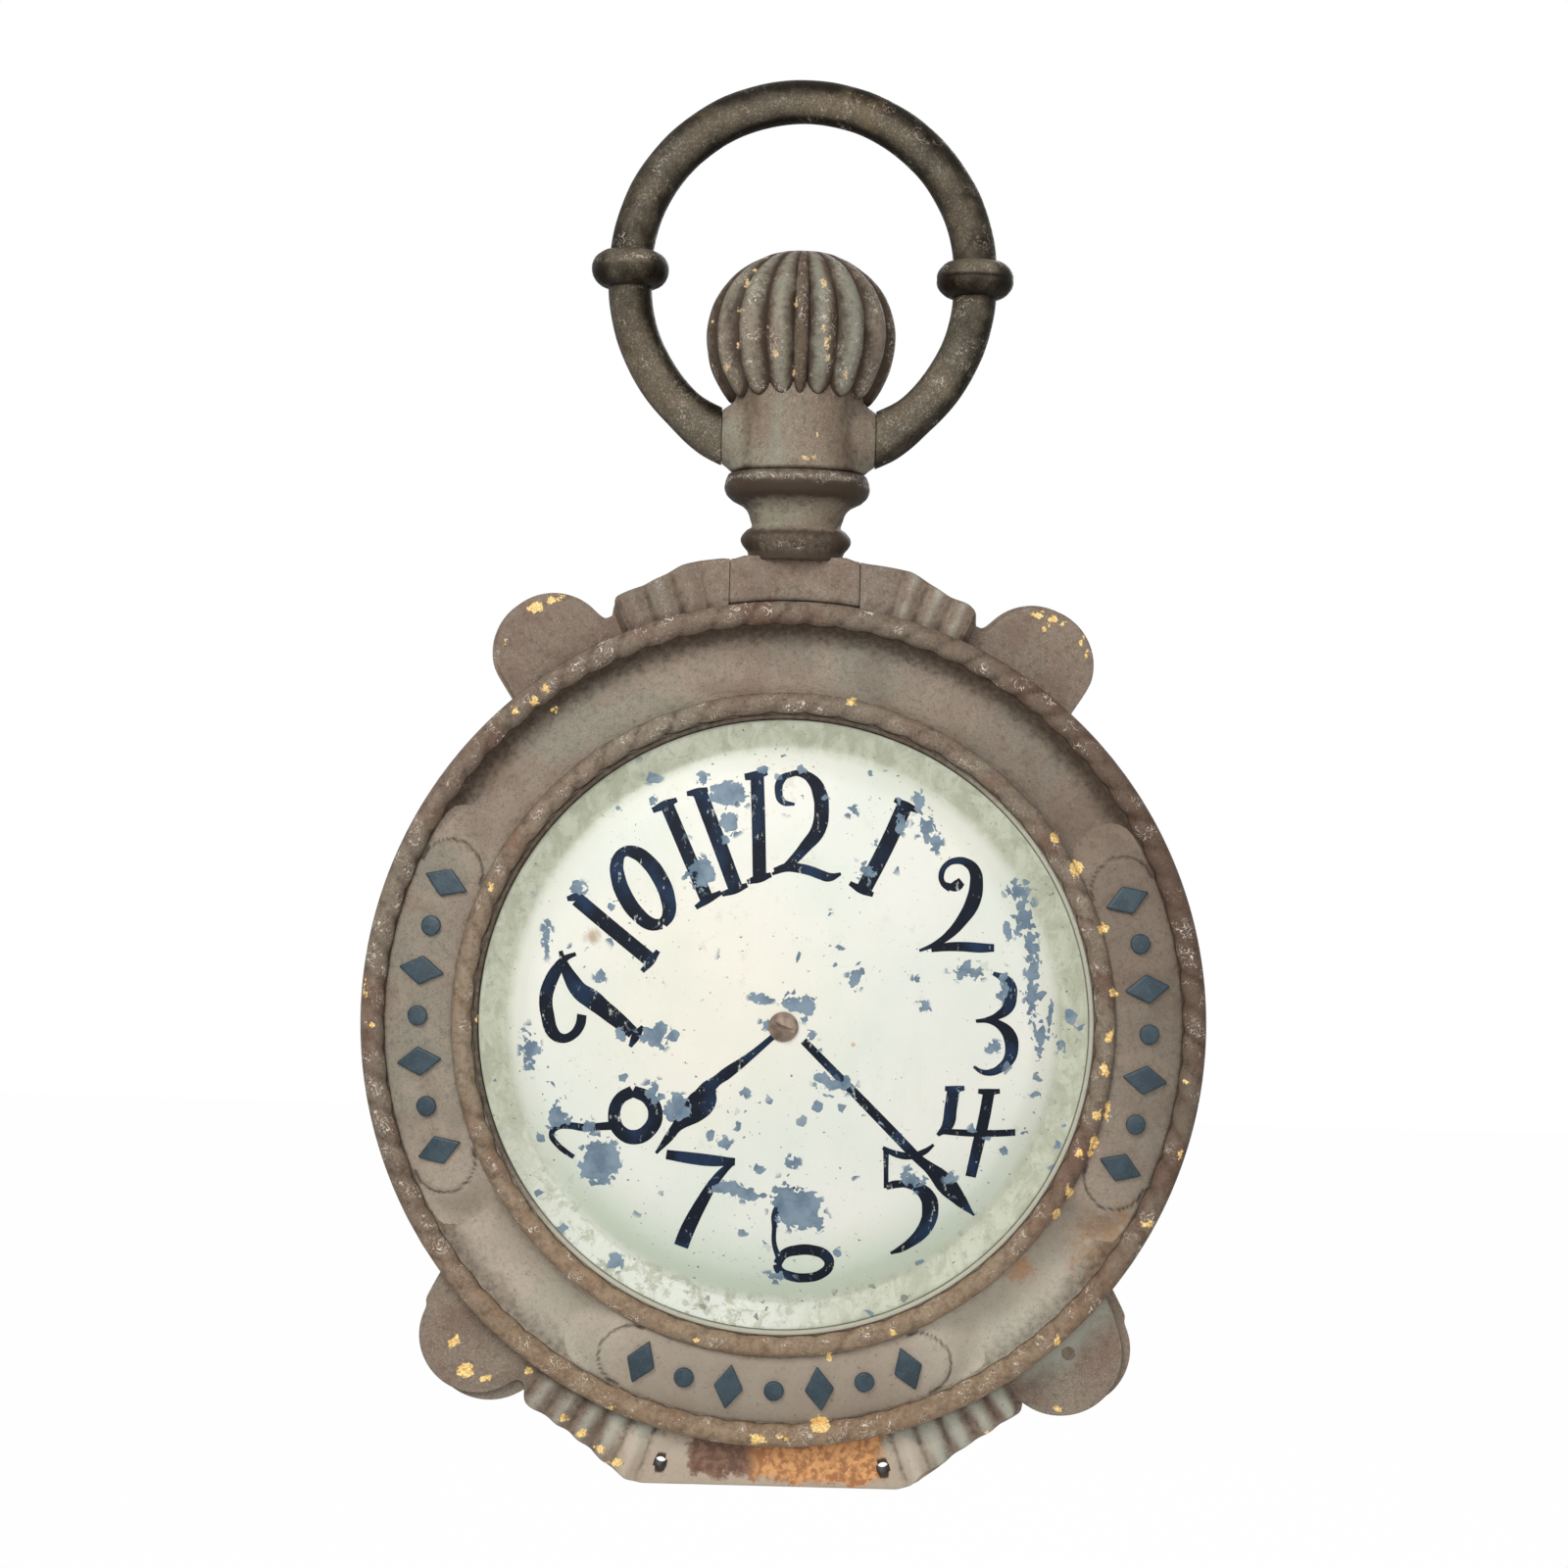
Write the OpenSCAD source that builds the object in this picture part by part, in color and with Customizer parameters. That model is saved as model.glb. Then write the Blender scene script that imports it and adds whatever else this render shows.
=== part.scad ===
// Double-faced jeweller's trade sign in the shape of a pocket watch, hung by its bow.
// Millimetres. +Z is up, the front faces -Y, and the origin is where the hook bears inside the bow's top.

/* [Bow] */
// Radius of the bow's centreline
bow_r = 112; // [100:1:125]
// Diameter of the bow's round bar
bow_bar = 28; // [24:1:32]
// How far the arms' centre lies below the arch's centre
bow_drop = 6.5; // [3:0.5:12]
// Outer diameter of the collars over the bow's joints
collar_d = 49; // [44:1:56]
// Height of the collars
collar_h = 22; // [18:1:26]
// Diameter of the tenon between arch and arm
tenon_d = 14; // [10:1:16]
// Length of the tenon between arch and arm
tenon_len = 12; // [8:1:16]

/* [Pivot] */
// Distance from the middle to the seam between arm and pendant
seam_x = 50; // [49:0.5:54]
// Diameter of the iron rod that the case swings on
rod_d = 12; // [10:1:13]
// Depth of the rod's seat in each arm
rod_seat = 12; // [8:0.5:12]
// Thickness of the arm where it meets the pendant, square to the arm
knuckle_d = 34; // [31:1:36]
// Length over which the arm swells to that thickness
knuckle_len = 30; // [20:1:40]
// Diameter of the pins that lock the rod in the arms
pin_d = 4; // [3:0.5:5]

/* [Pendant] */
// Radius of the barrel seen from the front
barrel_r = 43.5; // [42:0.5:45]
// How much deeper the barrel is than it is wide, to the front and to the back
barrel_bulge = 5.5; // [2:0.5:8]
// Wall of the barrel
barrel_wall = 9; // [6:0.5:12]
// Height of the barrel above the pivot
barrel_above = 33.5; // [30:0.5:38]
// Height of the barrel below the pivot
barrel_below = 24; // [23:0.5:30]
// Thickness of the web that closes the barrel's top
web_t = 11; // [8:0.5:13]
// Root radius of the bosses that meet the arms
boss_root_r = 23; // [20:0.5:23.5]

/* [Crown] */
// Radius of the crown at its ribs
crown_r = 62; // [58:0.5:66]
// Height of the crown's middle above the pivot
crown_lift = 64.5; // [60:0.5:68]
// Height of the crown's top above its middle
crown_top = 57; // [50:1:62]
// Depth of the grooves between the ribs
lobe_depth = 5.6; // [2:0.2:6]
// Least wall of the hollow crown
crown_wall = 7; // [5:0.5:10]
// Diameter of the stud that holds the crown
stud_d = 12; // [8:1:16]
// Length of the stud inside the crown
stud_len = 30; // [20:1:40]

/* [Neck] */
// Height of the neck from the case to the barrel
neck_h = 56.5; // [50:0.5:64]
// Radius of the neck at its waist
neck_r = 28.5; // [26:0.5:31]
// Radius of the lower collar
low_collar_r = 36; // [34:0.5:40]
// Radius of the foot under the lower collar
foot_r = 30; // [28:0.5:33]
// Radius of the upper collar
up_collar_r = 47.5; // [46:0.5:52]

/* [Hanger] */
// Diameter of the eye bolt's shank
shank_d = 14; // [10:1:16]
// Outer diameter of the eye
eye_d = 32; // [26:1:36]
// Thickness of the eye along the rod
eye_t = 16; // [10:1:24]
// Width across the hanger nut's flats
nut_af = 24; // [20:1:30]
// Thickness of the hanger nut
nut_t = 12; // [8:1:16]
// Width of the bearing plate across the case
plate_w = 64; // [40:2:90]
// Thickness of the bearing plate at its middle
plate_t = 8; // [5:1:12]

/* [Case ring] */
// Outer radius of the ring
ring_r = 272; // [260:1:285]
// Radius of the dial opening
opening_r = 196; // [190:1:200]
// Wall of the cast shells
wall = 5; // [4:0.5:6]
// Half width of the outer rope moulding
rope_out_r = 7.75; // [6:0.25:9]
// Half width of the inner rope moulding
rope_in_r = 7; // [5:0.25:7.5]
// Turns of the outer rope round the ring
rope_out_turns = 78; // [60:1:90]
// Turns of the inner rope round the ring
rope_in_turns = 55; // [45:1:65]
// Height of the outer rope's seat above the middle plane
seat_out_h = 18; // [16:0.5:21]
// Height of the inner rope's seat above the middle plane
seat_in_h = 25; // [24:0.5:28]
// Depth of the cove between the ropes
cove_sag = 9; // [6:0.5:10]
// Width of the lip round the opening
lip_w = 3; // [3:0.5:5]
// How far the lip stands above the inner rope's seat
lip_rise = 2; // [1:0.5:5]

/* [Flanges and ears] */
// Half thickness of the ears
ear_t = 5; // [4:0.5:7]
// Radius of each ear's lobe
ear_r = 38; // [34:0.5:40]
// Distance of the lobes' centres outside the ring
ear_out = 11; // [8:0.5:16]
// Angle of the upper ears from the top
ear_up_angle = 33.5; // [32:0.5:36]
// Angle of the lower ears from the bottom
ear_low_angle = 42.2; // [41.6:0.2:46]
// Half thickness of the top flange
top_t = 20; // [16:0.5:24]
// Half thickness of the bottom flange
low_t = 10; // [8:0.5:13]
// Height of the pedestal above the ring
pedestal_rise = 26; // [25:0.5:30]
// Half width of the pedestal block
pedestal_half = 42; // [40:0.5:44]
// Height of the flat foot below the ring
foot_drop = 28; // [28:0.5:33]
// Radius of the flutes on the flanges
flute_r = 9; // [8.5:0.25:11]
// How far the flutes stand out of the flanges
flute_rise = 3.5; // [2:0.25:5]
// Flutes on each side of the top flange
top_flutes = 3; // [2:1:3]
// Flutes on each side of the bottom flange
low_flutes = 5; // [3:1:5]
// Diameter of the rivets through the ears
rivet_d = 9; // [6:0.5:12]
// Diameter of the two holes in the bottom flange
tie_hole_d = 6; // [4:0.5:8]
// Distance between the two holes in the bottom flange
tie_hole_gap = 144; // [120:1:150]
// Height of those holes above the flat foot
tie_hole_up = 14; // [10:0.5:18]

/* [Panels] */
// Half of the angle that each raised panel covers
panel_half_angle = 23.2; // [20:0.2:24]
// Number of raised marks on a panel
marks = 7; // [5:1:8]
// Height of the raised marks
mark_h = 2.4; // [1.5:0.1:3.5]

/* [Dial] */
// Thickness of the dial's sheet
dial_t = 2; // [1.5:0.1:3]
// Width of the dial's sloping rim, from its edge to the groove round the dome
rim_w = 21.5; // [18:0.5:27]
// Drop of the dial's rim from its edge to the groove
rim_drop = 6; // [3:0.5:8]
// Height of the dome above the groove
dome_rise = 21; // [14:0.5:26]
// Width of the ledge that the dial's edge lies on
ledge_w = 8; // [6:0.5:10]
// Diameter of the dial screw's head
screw_head_d = 19; // [16:0.5:24]
// Height of the dial screw's head
screw_head_h = 6; // [4:0.5:8]
// Diameter of the dial screw's shank
screw_d = 8; // [6:0.5:10]
// Length of the dial screw's shank
screw_len = 26; // [18:1:30]
// Width of the slot in the dial screw
slot_w = 2.2; // [1.5:0.1:3]
// Diameter of the post behind the dials
post_d = 22; // [18:0.5:28]
// Height of the bar across the case
bar_w = 36; // [30:1:44]
// Thickness of the bar across the case
bar_t = 8; // [6:0.5:10]

/* [Hidden] */
$fn = 96;

// Clearances
run_fit = 0.08;
close_fit = 0.05;
rivet_fit = 0.2;
seat_gap = 0.2;
seam_gap = 0.4;
collar_fit = 0.8;
far = 400;

// Colours of the paint and metals
iron_paint = "#7a7069";
bow_paint = "#5f5c52";
dial_paint = "#e6e6d8";
mark_paint = "#2f3e4a";
bare_iron = "#5c4a42";

// Heights of the chain from the hook down to the dial's centre
arch_z = -(bow_r - bow_bar / 2);
joint_z = arch_z - bow_drop / 2;
arm_z = arch_z - bow_drop;
pivot_z = arm_z - sqrt(bow_r * bow_r - seam_x * seam_x);
barrel_top_z = pivot_z + barrel_above;
barrel_foot_z = pivot_z - barrel_below;
foot_z = barrel_foot_z - neck_h;
dial_z = foot_z - pedestal_rise - ring_r;
arm_lean = asin(seam_x / bow_r);

// Radii of the ring's section, from the outside in
body_r = ring_r - 1;
rope_out_in = ring_r - 2 * rope_out_r;
rope_in_in = opening_r + lip_w;
rope_in_out = rope_in_in + 2 * rope_in_r;
ledge_r = opening_r - ledge_w;
cove_mid_r = (rope_out_in + rope_in_out) / 2;
cove_mid_h = (seat_out_h + seat_in_h) / 2;
cove_half = norm([rope_out_in - rope_in_out, seat_in_h - seat_out_h]) / 2;
cove_r = (cove_half * cove_half + cove_sag * cove_sag) / (2 * cove_sag);
cove_lean = atan2(seat_in_h - seat_out_h, rope_out_in - rope_in_out);
cove_centre = [cove_mid_r + (cove_r - cove_sag) * sin(cove_lean), cove_mid_h + (cove_r - cove_sag) * cos(cove_lean)];

// Levels of the dial, above the middle plane
dial_r = opening_r - 0.5;
groove_r = dial_r - rim_w;
rim_slope = rim_drop / rim_w;
rim_h = seat_in_h - 1;
groove_h = rim_h - rim_drop;
dome_top = groove_h + dome_rise;
dome_r = (groove_r * groove_r + dome_rise * dome_rise) / (2 * dome_rise);
post_end = dome_top - dial_t - seat_gap;

// Outline of the flanges: angle from the vertical, and distance outside the ring
top_outline = [[8.5, 28.6], [12, 30.2], [14.2, 29.9], [16, 27.4], [18, 25], [19.5, 23.5], [22.5, 23], [23.6, 21], [24.3, 12]];
low_outline = [[16.6, 40.2], [17.8, 37.8], [20, 34], [22, 30.8], [24, 28], [26, 25.9], [28.5, 24.4], [32, 23.2],
    [33, 20.5], [33.8, 15.5]];
// Angles of the first flute and from flute to flute
top_flute_first = 14.2;
top_flute_step = 3.65;
low_flute_first = 17.8;
low_flute_step = 3.45;
web_out = 14.4;
ear_flare = 4;
ear_root = 15;
// The web band stops this many degrees short of an ear's middle, clear of its rivet
ear_cover = 3;

// Places a shape drawn on the watch's face: x right, y up, z out of the face
module on_face(rear = false) {
    translate([0, 0, dial_z])
        mirror([0, rear ? 1 : 0, 0])
            rotate([90, 0, 0]) children();
}

// Bow

module bow_ring(from, to) {
    rotate([90, 0, 0])
        rotate([0, 0, from])
            rotate_extrude(angle = to - from) translate([bow_r, 0]) circle(d = bow_bar);
}

module bow_arch() {
    color(bow_paint) {
        difference() {
            translate([0, 0, arch_z]) bow_ring(-4, 184);
            translate([-far / 2, -far / 2, joint_z - far]) cube(far);
        }
        for (side = [-1, 1])
            translate([side * bow_r, 0, joint_z - tenon_len]) cylinder(d = tenon_d, h = tenon_len + 2);
    }
}

// Diameter at the thin end of the arm's swelling
knuckle_end = bow_bar + 1;

// The right arm; the left one is its mirror image
module arm_right() {
    tenon_hole = tenon_len + seat_gap;
    difference() {
        union() {
            translate([0, 0, arm_z]) bow_ring(-90 + arm_lean - 12, 4);
            translate([seam_x, 0, pivot_z])
                rotate([0, 90 - arm_lean - knuckle_len / bow_r * 180 / PI / 2, 0])
                    translate([0, 0, -knuckle_len / 2])
                        cylinder(d1 = 1.5 * knuckle_d - knuckle_end / 2, d2 = knuckle_end, h = knuckle_len * 1.5);
        }
        translate([seam_x - far, -far / 2, -far]) cube(far);
        translate([0, -far / 2, joint_z]) cube(far);
        translate([bow_r, 0, joint_z - tenon_hole]) cylinder(d = tenon_d + 2 * close_fit, h = tenon_hole + 1);
        translate([seam_x - 1, 0, pivot_z]) rotate([0, 90, 0]) cylinder(d = rod_d + 2 * close_fit, h = rod_seat + 1);
        pin_hole();
    }
}

// The pin's hole rises from under the arm through the rod
module pin_hole() {
    translate([pin_x, 0, pivot_z - knuckle_d]) cylinder(d = pin_d + 2 * close_fit, h = knuckle_d + pin_top + seat_gap);
}
pin_x = seam_x + rod_seat / 2;
pin_top = rod_d / 2 + 3;
pin_len = pin_top + knuckle_d / 2 - 2.5;

module bow_arm_right() {
    color(bow_paint) arm_right();
}

module bow_arm_left() {
    color(bow_paint) mirror([1, 0, 0]) arm_right();
}

// A wide round bead with a thin one above it
module bow_collar(side) {
    thin = collar_h * 0.35;
    wide = collar_h - thin + 0.6;
    thin_r = (collar_d - thin) / 2 - 1.5;
    color(bow_paint)
        translate([side * bow_r, 0, joint_z])
            rotate_extrude()
                difference() {
                    union() {
                        translate([(collar_d - wide) / 2, (wide - collar_h) / 2]) circle(d = wide);
                        translate([thin_r, (collar_h - thin) / 2]) circle(d = thin);
                        translate([0, 2 - collar_h / 2]) square([thin_r, collar_h - 4]);
                    }
                    translate([-far, -far / 2]) square([far + bow_bar / 2 + collar_fit, far]);
                }
}

module pivot_rod() {
    color(bare_iron)
        difference() {
            translate([-seam_x - rod_seat + seat_gap, 0, pivot_z])
                rotate([0, 90, 0]) cylinder(d = rod_d, h = 2 * (seam_x + rod_seat - seat_gap));
            pin_hole();
            mirror([1, 0, 0]) pin_hole();
        }
}

module pivot_pins() {
    color(bare_iron)
        for (side = [-1, 1])
            translate([side * pin_x, 0, pivot_z + pin_top - pin_len]) cylinder(d = pin_d, h = pin_len);
}

// Pendant and crown

// Upright barrel, as wide as barrel_r and deeper by barrel_bulge
module barrel_shape(grow, from, to) {
    r = barrel_r + grow;
    translate([0, 0, from]) {
        for (side = [-1, 1])
            translate([0, side * barrel_bulge, 0]) cylinder(r = r, h = to - from);
        translate([-r, -barrel_bulge, 0]) cube([2 * r, 2 * barrel_bulge, to - from]);
    }
}

module pendant() {
    boss_h = seam_x - seam_gap;
    color(iron_paint)
        difference() {
            union() {
                barrel_shape(0, barrel_foot_z, barrel_top_z);
                for (side = [-1, 1])
                    translate([0, 0, pivot_z])
                        rotate([0, side * 90, 0])
                            cylinder(r1 = boss_root_r, r2 = (knuckle_d + 4) / 2, h = boss_h);
            }
            translate([0, 0, barrel_foot_z - 1])
                cylinder(r = barrel_r - barrel_wall, h = barrel_above + barrel_below - web_t + 1);
            translate([-far / 2, 0, pivot_z]) rotate([0, 90, 0]) cylinder(d = rod_d + 2 * run_fit, h = far);
            translate([0, 0, barrel_top_z - web_t - 1]) cylinder(d = stud_d + 2 * close_fit, h = web_t + 2);
        }
}

// The crown has 18 ribs, narrow at the front and back and wide at the sides: angles of a quarter's grooves
quarter = [4.5, 22.5, 43, 66, 90];
grooves = concat(quarter, [for (i = [3:-1:0]) 180 - quarter[i]], [for (g = quarter) 180 + g],
    [for (i = [3:-1:0]) 360 - quarter[i]], [360 + quarter[0]]);
crown_lats = [-46, -40, -33, -25, -16, -6, 4, 15, 27, 39, 51, 63, 75];
crown_round = (len(grooves) - 1) * 4;
function rib_width(i) = grooves[floor(i / 4) + 1] - grooves[floor(i / 4)];
function rib_angle(i) = grooves[floor(i / 4)] + rib_width(i) * (i % 4) / 4;
function rib(i) = 1 - lobe_depth / crown_r * sqrt(rib_width(i) / 20) * (1 - sin(45 * (i % 4)));
// Rings of latitude, each with four points to a rib
function crown_point(lat, i) = [
    crown_r * cos(lat) * rib(i) * sin(rib_angle(i)),
    -crown_r * cos(lat) * rib(i) * cos(rib_angle(i)),
    (lat < 0 ? crown_r : crown_top) * sin(lat)
];
crown_points = concat(
    [for (lat = crown_lats) for (i = [0:crown_round - 1]) crown_point(lat, i)],
    [[0, 0, crown_r * sin(crown_lats[0])], [0, 0, crown_top]]
);
crown_last = len(crown_lats) - 1;
crown_foot = len(crown_points) - 2;
crown_pole = len(crown_points) - 1;
function ring_point(k, i) = k * crown_round + i % crown_round;
crown_faces = concat(
    [for (k = [0:crown_last - 1]) for (i = [0:crown_round - 1])
        [ring_point(k, i), ring_point(k + 1, i), ring_point(k + 1, i + 1)]],
    [for (k = [0:crown_last - 1]) for (i = [0:crown_round - 1])
        [ring_point(k, i), ring_point(k + 1, i + 1), ring_point(k, i + 1)]],
    [for (i = [0:crown_round - 1]) [ring_point(0, i + 1), crown_foot, ring_point(0, i)]],
    [for (i = [0:crown_round - 1]) [ring_point(crown_last, i), crown_pole, ring_point(crown_last, i + 1)]]
);

module crown() {
    crown_z = pivot_z + crown_lift;
    seat_z = barrel_top_z + seat_gap;
    hollow_r = min(crown_r, crown_top) - lobe_depth - crown_wall;
    color(iron_paint)
        difference() {
            union() {
                difference() {
                    translate([0, 0, crown_z]) polyhedron(crown_points, crown_faces);
                    translate([0, 0, crown_z]) sphere(r = hollow_r);
                }
                translate([0, 0, seat_z]) cylinder(d = stud_d + 12, h = crown_z + hollow_r + 2 - seat_z);
            }
            barrel_shape(seat_gap, crown_z - crown_r, seat_z);
            translate([0, 0, seat_z - 1]) cylinder(d = stud_d + 2 * close_fit, h = stud_len + 1);
        }
}

module crown_stud() {
    color(bare_iron)
        translate([0, 0, barrel_top_z - web_t]) cylinder(d = stud_d, h = web_t + stud_len);
}

// Neck and hanger

module neck() {
    bore = shank_d / 2 + 1;
    color(iron_paint)
        translate([0, 0, foot_z])
            rotate_extrude()
                polygon([
                    [bore, 0], [foot_r, 0], [foot_r, neck_h * 0.09], [foot_r + 1.5, neck_h * 0.128],
                    [low_collar_r - 2.3, neck_h * 0.165], [low_collar_r - 0.5, neck_h * 0.21],
                    [low_collar_r, neck_h * 0.257], [low_collar_r - 1, neck_h * 0.3],
                    [low_collar_r - 4, neck_h * 0.36], [neck_r + 0.4, neck_h * 0.39], [neck_r + 1.4, neck_h * 0.483],
                    [neck_r + 3.7, neck_h * 0.59], [neck_r + 7, neck_h * 0.641], [up_collar_r - 5.6, neck_h * 0.694],
                    [up_collar_r - 1.7, neck_h * 0.756], [up_collar_r, neck_h * 0.839],
                    [up_collar_r - 1, neck_h * 0.922], [up_collar_r - 2.7, neck_h], [bore, neck_h]
                ]);
}

module hanger_eye_bolt() {
    shank_end = dial_z + ledge_r - plate_t - nut_t - 6;
    color(bare_iron)
        difference() {
            union() {
                translate([-eye_t / 2, 0, pivot_z]) rotate([0, 90, 0]) cylinder(d = eye_d, h = eye_t);
                translate([0, 0, shank_end]) cylinder(d = shank_d, h = pivot_z - shank_end);
            }
            translate([-eye_t, 0, pivot_z]) rotate([0, 90, 0]) cylinder(d = rod_d + 2 * run_fit, h = 2 * eye_t);
        }
}

// Spreads the load over both shells; its top is bent to the inside of the ring
module bearing_plate() {
    color(bare_iron)
        on_face()
            difference() {
                translate([-plate_w / 2, ledge_r - plate_t, -seat_in_h / 2]) cube([plate_w, plate_t, seat_in_h]);
                difference() {
                    translate([-far, 0, -far]) cube(2 * far);
                    translate([0, 0, -far]) cylinder(r = ledge_r - seat_gap, h = 2 * far, $fn = 360);
                }
                rotate([-90, 0, 0]) cylinder(d = shank_d + 1, h = far);
            }
}

module hanger_nut() {
    top = dial_z + ledge_r - plate_t;
    color(bare_iron)
        translate([0, 0, top - nut_t])
            difference() {
                cylinder(d = nut_af / cos(30), h = nut_t, $fn = 6);
                translate([0, 0, -1]) cylinder(d = shank_d + 2 * close_fit, h = nut_t + 2);
            }
}

// Case shells

function polar(a, out) = [(ring_r + out) * sin(a), (ring_r + out) * cos(a)];

module both_sides() {
    children();
    mirror([1, 0, 0]) children();
}

// One half of the top flange's outline, or of the bottom one before it is turned over
module flange_outline(points, level) {
    polygon(concat(
        [[0, ring_r - 20], [0, ring_r + level], [polar(points[0][0], points[0][1])[0] * 0.98, ring_r + level]],
        [for (p = points) polar(p[0], p[1])],
        [polar(points[len(points) - 1][0], -20)]
    ));
}

// Outline of the band that joins a flange to the ear beside it
module web_outline(from, to) {
    intersection() {
        difference() {
            circle(r = ring_r + web_out);
            circle(r = body_r - wall);
        }
        polygon([[0, 0], far * [sin(from), cos(from)], far * [sin(to), cos(to)]]);
    }
}

module ear_outline(angle) {
    rotate(-angle)
        translate([0, ring_r + ear_out]) {
            circle(r = ear_r);
            polygon([
                [-ear_r, 0], [-ear_r, -ear_root], [-ear_r * 0.7, -ear_root - 15], [ear_r, -ear_root - 15],
                [ear_r + ear_flare, -ear_root], [ear_r, 0]
            ]);
        }
}

module top_flange_outline() {
    both_sides() flange_outline(top_outline, pedestal_rise);
}

module low_flange_outline() {
    mirror([0, 1, 0]) both_sides() flange_outline(low_outline, foot_drop);
}

module ears() {
    linear_extrude(ear_t)
        difference() {
            both_sides() {
                ear_outline(ear_up_angle);
                web_outline(top_outline[len(top_outline) - 2][0], ear_up_angle - ear_cover);
                mirror([0, 1]) {
                    ear_outline(ear_low_angle);
                    web_outline(low_outline[len(low_outline) - 2][0], ear_low_angle - ear_cover);
                }
            }
            circle(r = body_r - wall / 2, $fn = 180);
        }
}

// A fan of half-round flutes on one side of a flange
module flutes(count, first, step, thick) {
    for (i = [0:count - 1])
        rotate(-(first + step * i))
            translate([0, ring_r - 12, thick - flute_r + flute_rise])
                rotate([-90, 0, 0]) cylinder(r = flute_r, h = 70);
}

module flange_half(thick) {
    difference() {
        linear_extrude(thick) children(0);
        translate([0, 0, -1]) cylinder(r = body_r - wall / 2, h = thick + 2);
    }
    intersection() {
        linear_extrude(thick + flute_rise + 1) children(0);
        children(1);
        difference() {
            translate([0, 0, thick / 2]) cylinder(r = ring_r + 80, h = thick + 10);
            translate([0, 0, -1]) cylinder(r = body_r - wall / 2, h = 2 * thick + 12);
        }
    }
}

// Keeps a flange clear of the rope moulding that stands in front of it
module clear_rope() {
    difference() {
        children();
        translate([0, 0, seat_out_h]) cylinder(r = ring_r + seat_gap, h = far, $fn = 180);
    }
}

// Section of the ring's shell: radius against height above the middle plane
module ring_section() {
    lip_h = seat_in_h + lip_rise;
    edge_h = rim_h - dial_t - seat_gap;
    floor_h = cove_mid_h - cove_sag - wall;
    difference() {
        polygon([
            [body_r, 0], [body_r, seat_out_h], [rope_out_in, seat_out_h], [rope_in_out, seat_in_h],
            [rope_in_in, seat_in_h], [rope_in_in, lip_h], [opening_r, lip_h],
            [opening_r, edge_h], [ledge_r, edge_h - rim_slope * ledge_w], [ledge_r, 0]
        ]);
        // a hair wide, so that it crosses both seats instead of meeting their corners
        translate(cove_centre) circle(r = cove_r + 0.05);
        polygon([
            [body_r - wall, -1], [body_r - wall, seat_out_h - wall], [rope_out_in - 3, seat_out_h - wall],
            [cove_mid_r + cove_half * 0.45, floor_h], [cove_mid_r - cove_half * 0.3, floor_h],
            [rope_in_out + 1, seat_in_h - wall - 5], [ledge_r + wall, edge_h - rim_drop], [ledge_r + wall, -1]
        ]);
    }
}

module case_half() {
    difference() {
        union() {
            rotate_extrude($fn = 180) ring_section();
            clear_rope()
                flange_half(top_t) {
                    top_flange_outline();
                    both_sides() flutes(top_flutes, top_flute_first, top_flute_step, top_t);
                }
            flange_half(low_t) {
                low_flange_outline();
                mirror([0, 1, 0]) both_sides() flutes(low_flutes, low_flute_first, low_flute_step, low_t);
            }
            ears();
        }
        // slot for the pedestal block
        difference() {
            translate([-pedestal_half - seat_gap, ring_r - 25, -1])
                cube([2 * (pedestal_half + seat_gap), far, 2 * top_t]);
            translate([0, 0, -2]) cylinder(r = body_r, h = 3 * top_t);
        }
        // half-round notches for the eye bolt's shank, and for the bar
        rotate([-90, 0, 0]) cylinder(d = shank_d + 1, h = far);
        translate([-opening_r, -(bar_w / 2 + seat_gap), -1])
            cube([2 * opening_r, bar_w + 2 * seat_gap, 1 + bar_t / 2 + seat_gap]);
        rivet_places() translate([0, 0, -1]) cylinder(d = rivet_d + 2 * rivet_fit, h = ear_t + 2);
        for (side = [-1, 1])
            translate([side * tie_hole_gap / 2, -(ring_r + foot_drop - tie_hole_up), -1])
                cylinder(d = tie_hole_d, h = low_t + flute_rise + 2);
    }
}

module rivet_places() {
    both_sides() {
        rotate(-ear_up_angle) translate([0, ring_r + ear_out, 0]) children();
        rotate(-180 + ear_low_angle) translate([0, ring_r + ear_out, 0]) children();
    }
}

module case_front() {
    color(iron_paint) on_face() case_half();
}

module case_rear() {
    color(iron_paint) on_face(rear = true) case_half();
}

module pedestal_block() {
    depth = top_t + 1;
    color(iron_paint)
        on_face()
            difference() {
                translate([-pedestal_half, ring_r - 30, -depth])
                    cube([2 * pedestal_half, 30 + pedestal_rise, 2 * depth]);
                translate([0, 0, -far / 2]) cylinder(r = body_r + seat_gap, h = far);
                for (side = [-1, 1])
                    translate([0, 0, side > 0 ? 0 : -2 * top_t])
                        cylinder(r = ring_r + seat_gap, h = 2 * top_t + 0.01);
                rotate([-90, 0, 0]) cylinder(d = shank_d + 1, h = far);
            }
}

module ear_rivets() {
    head = 0.4;
    color(bare_iron)
        on_face() rivet_places() translate([0, 0, -ear_t - head]) cylinder(d = rivet_d, h = 2 * (ear_t + head));
}

// Rope mouldings

rope_steps = 3;
rope_sides = 6;
rope_bite = 0.3;
// A point of the half-round rope: i along it, j across it, and the last two lie on its flat seat
function rope_point(mid_r, half, turns, i, j) =
    let (
        across = 180 * j / (rope_sides - 1),
        twist = 360 * i / rope_steps + 2 * across,
        swell = half * (1 - rope_bite * (1 - cos(twist)) / 2),
        r = mid_r + swell * cos(across),
        a = 360 * i / (turns * rope_steps)
    )
    [r * sin(a), r * cos(a), j == 0 || j == rope_sides - 1 ? 0 : swell * 1.15 * sin(across)];

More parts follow.
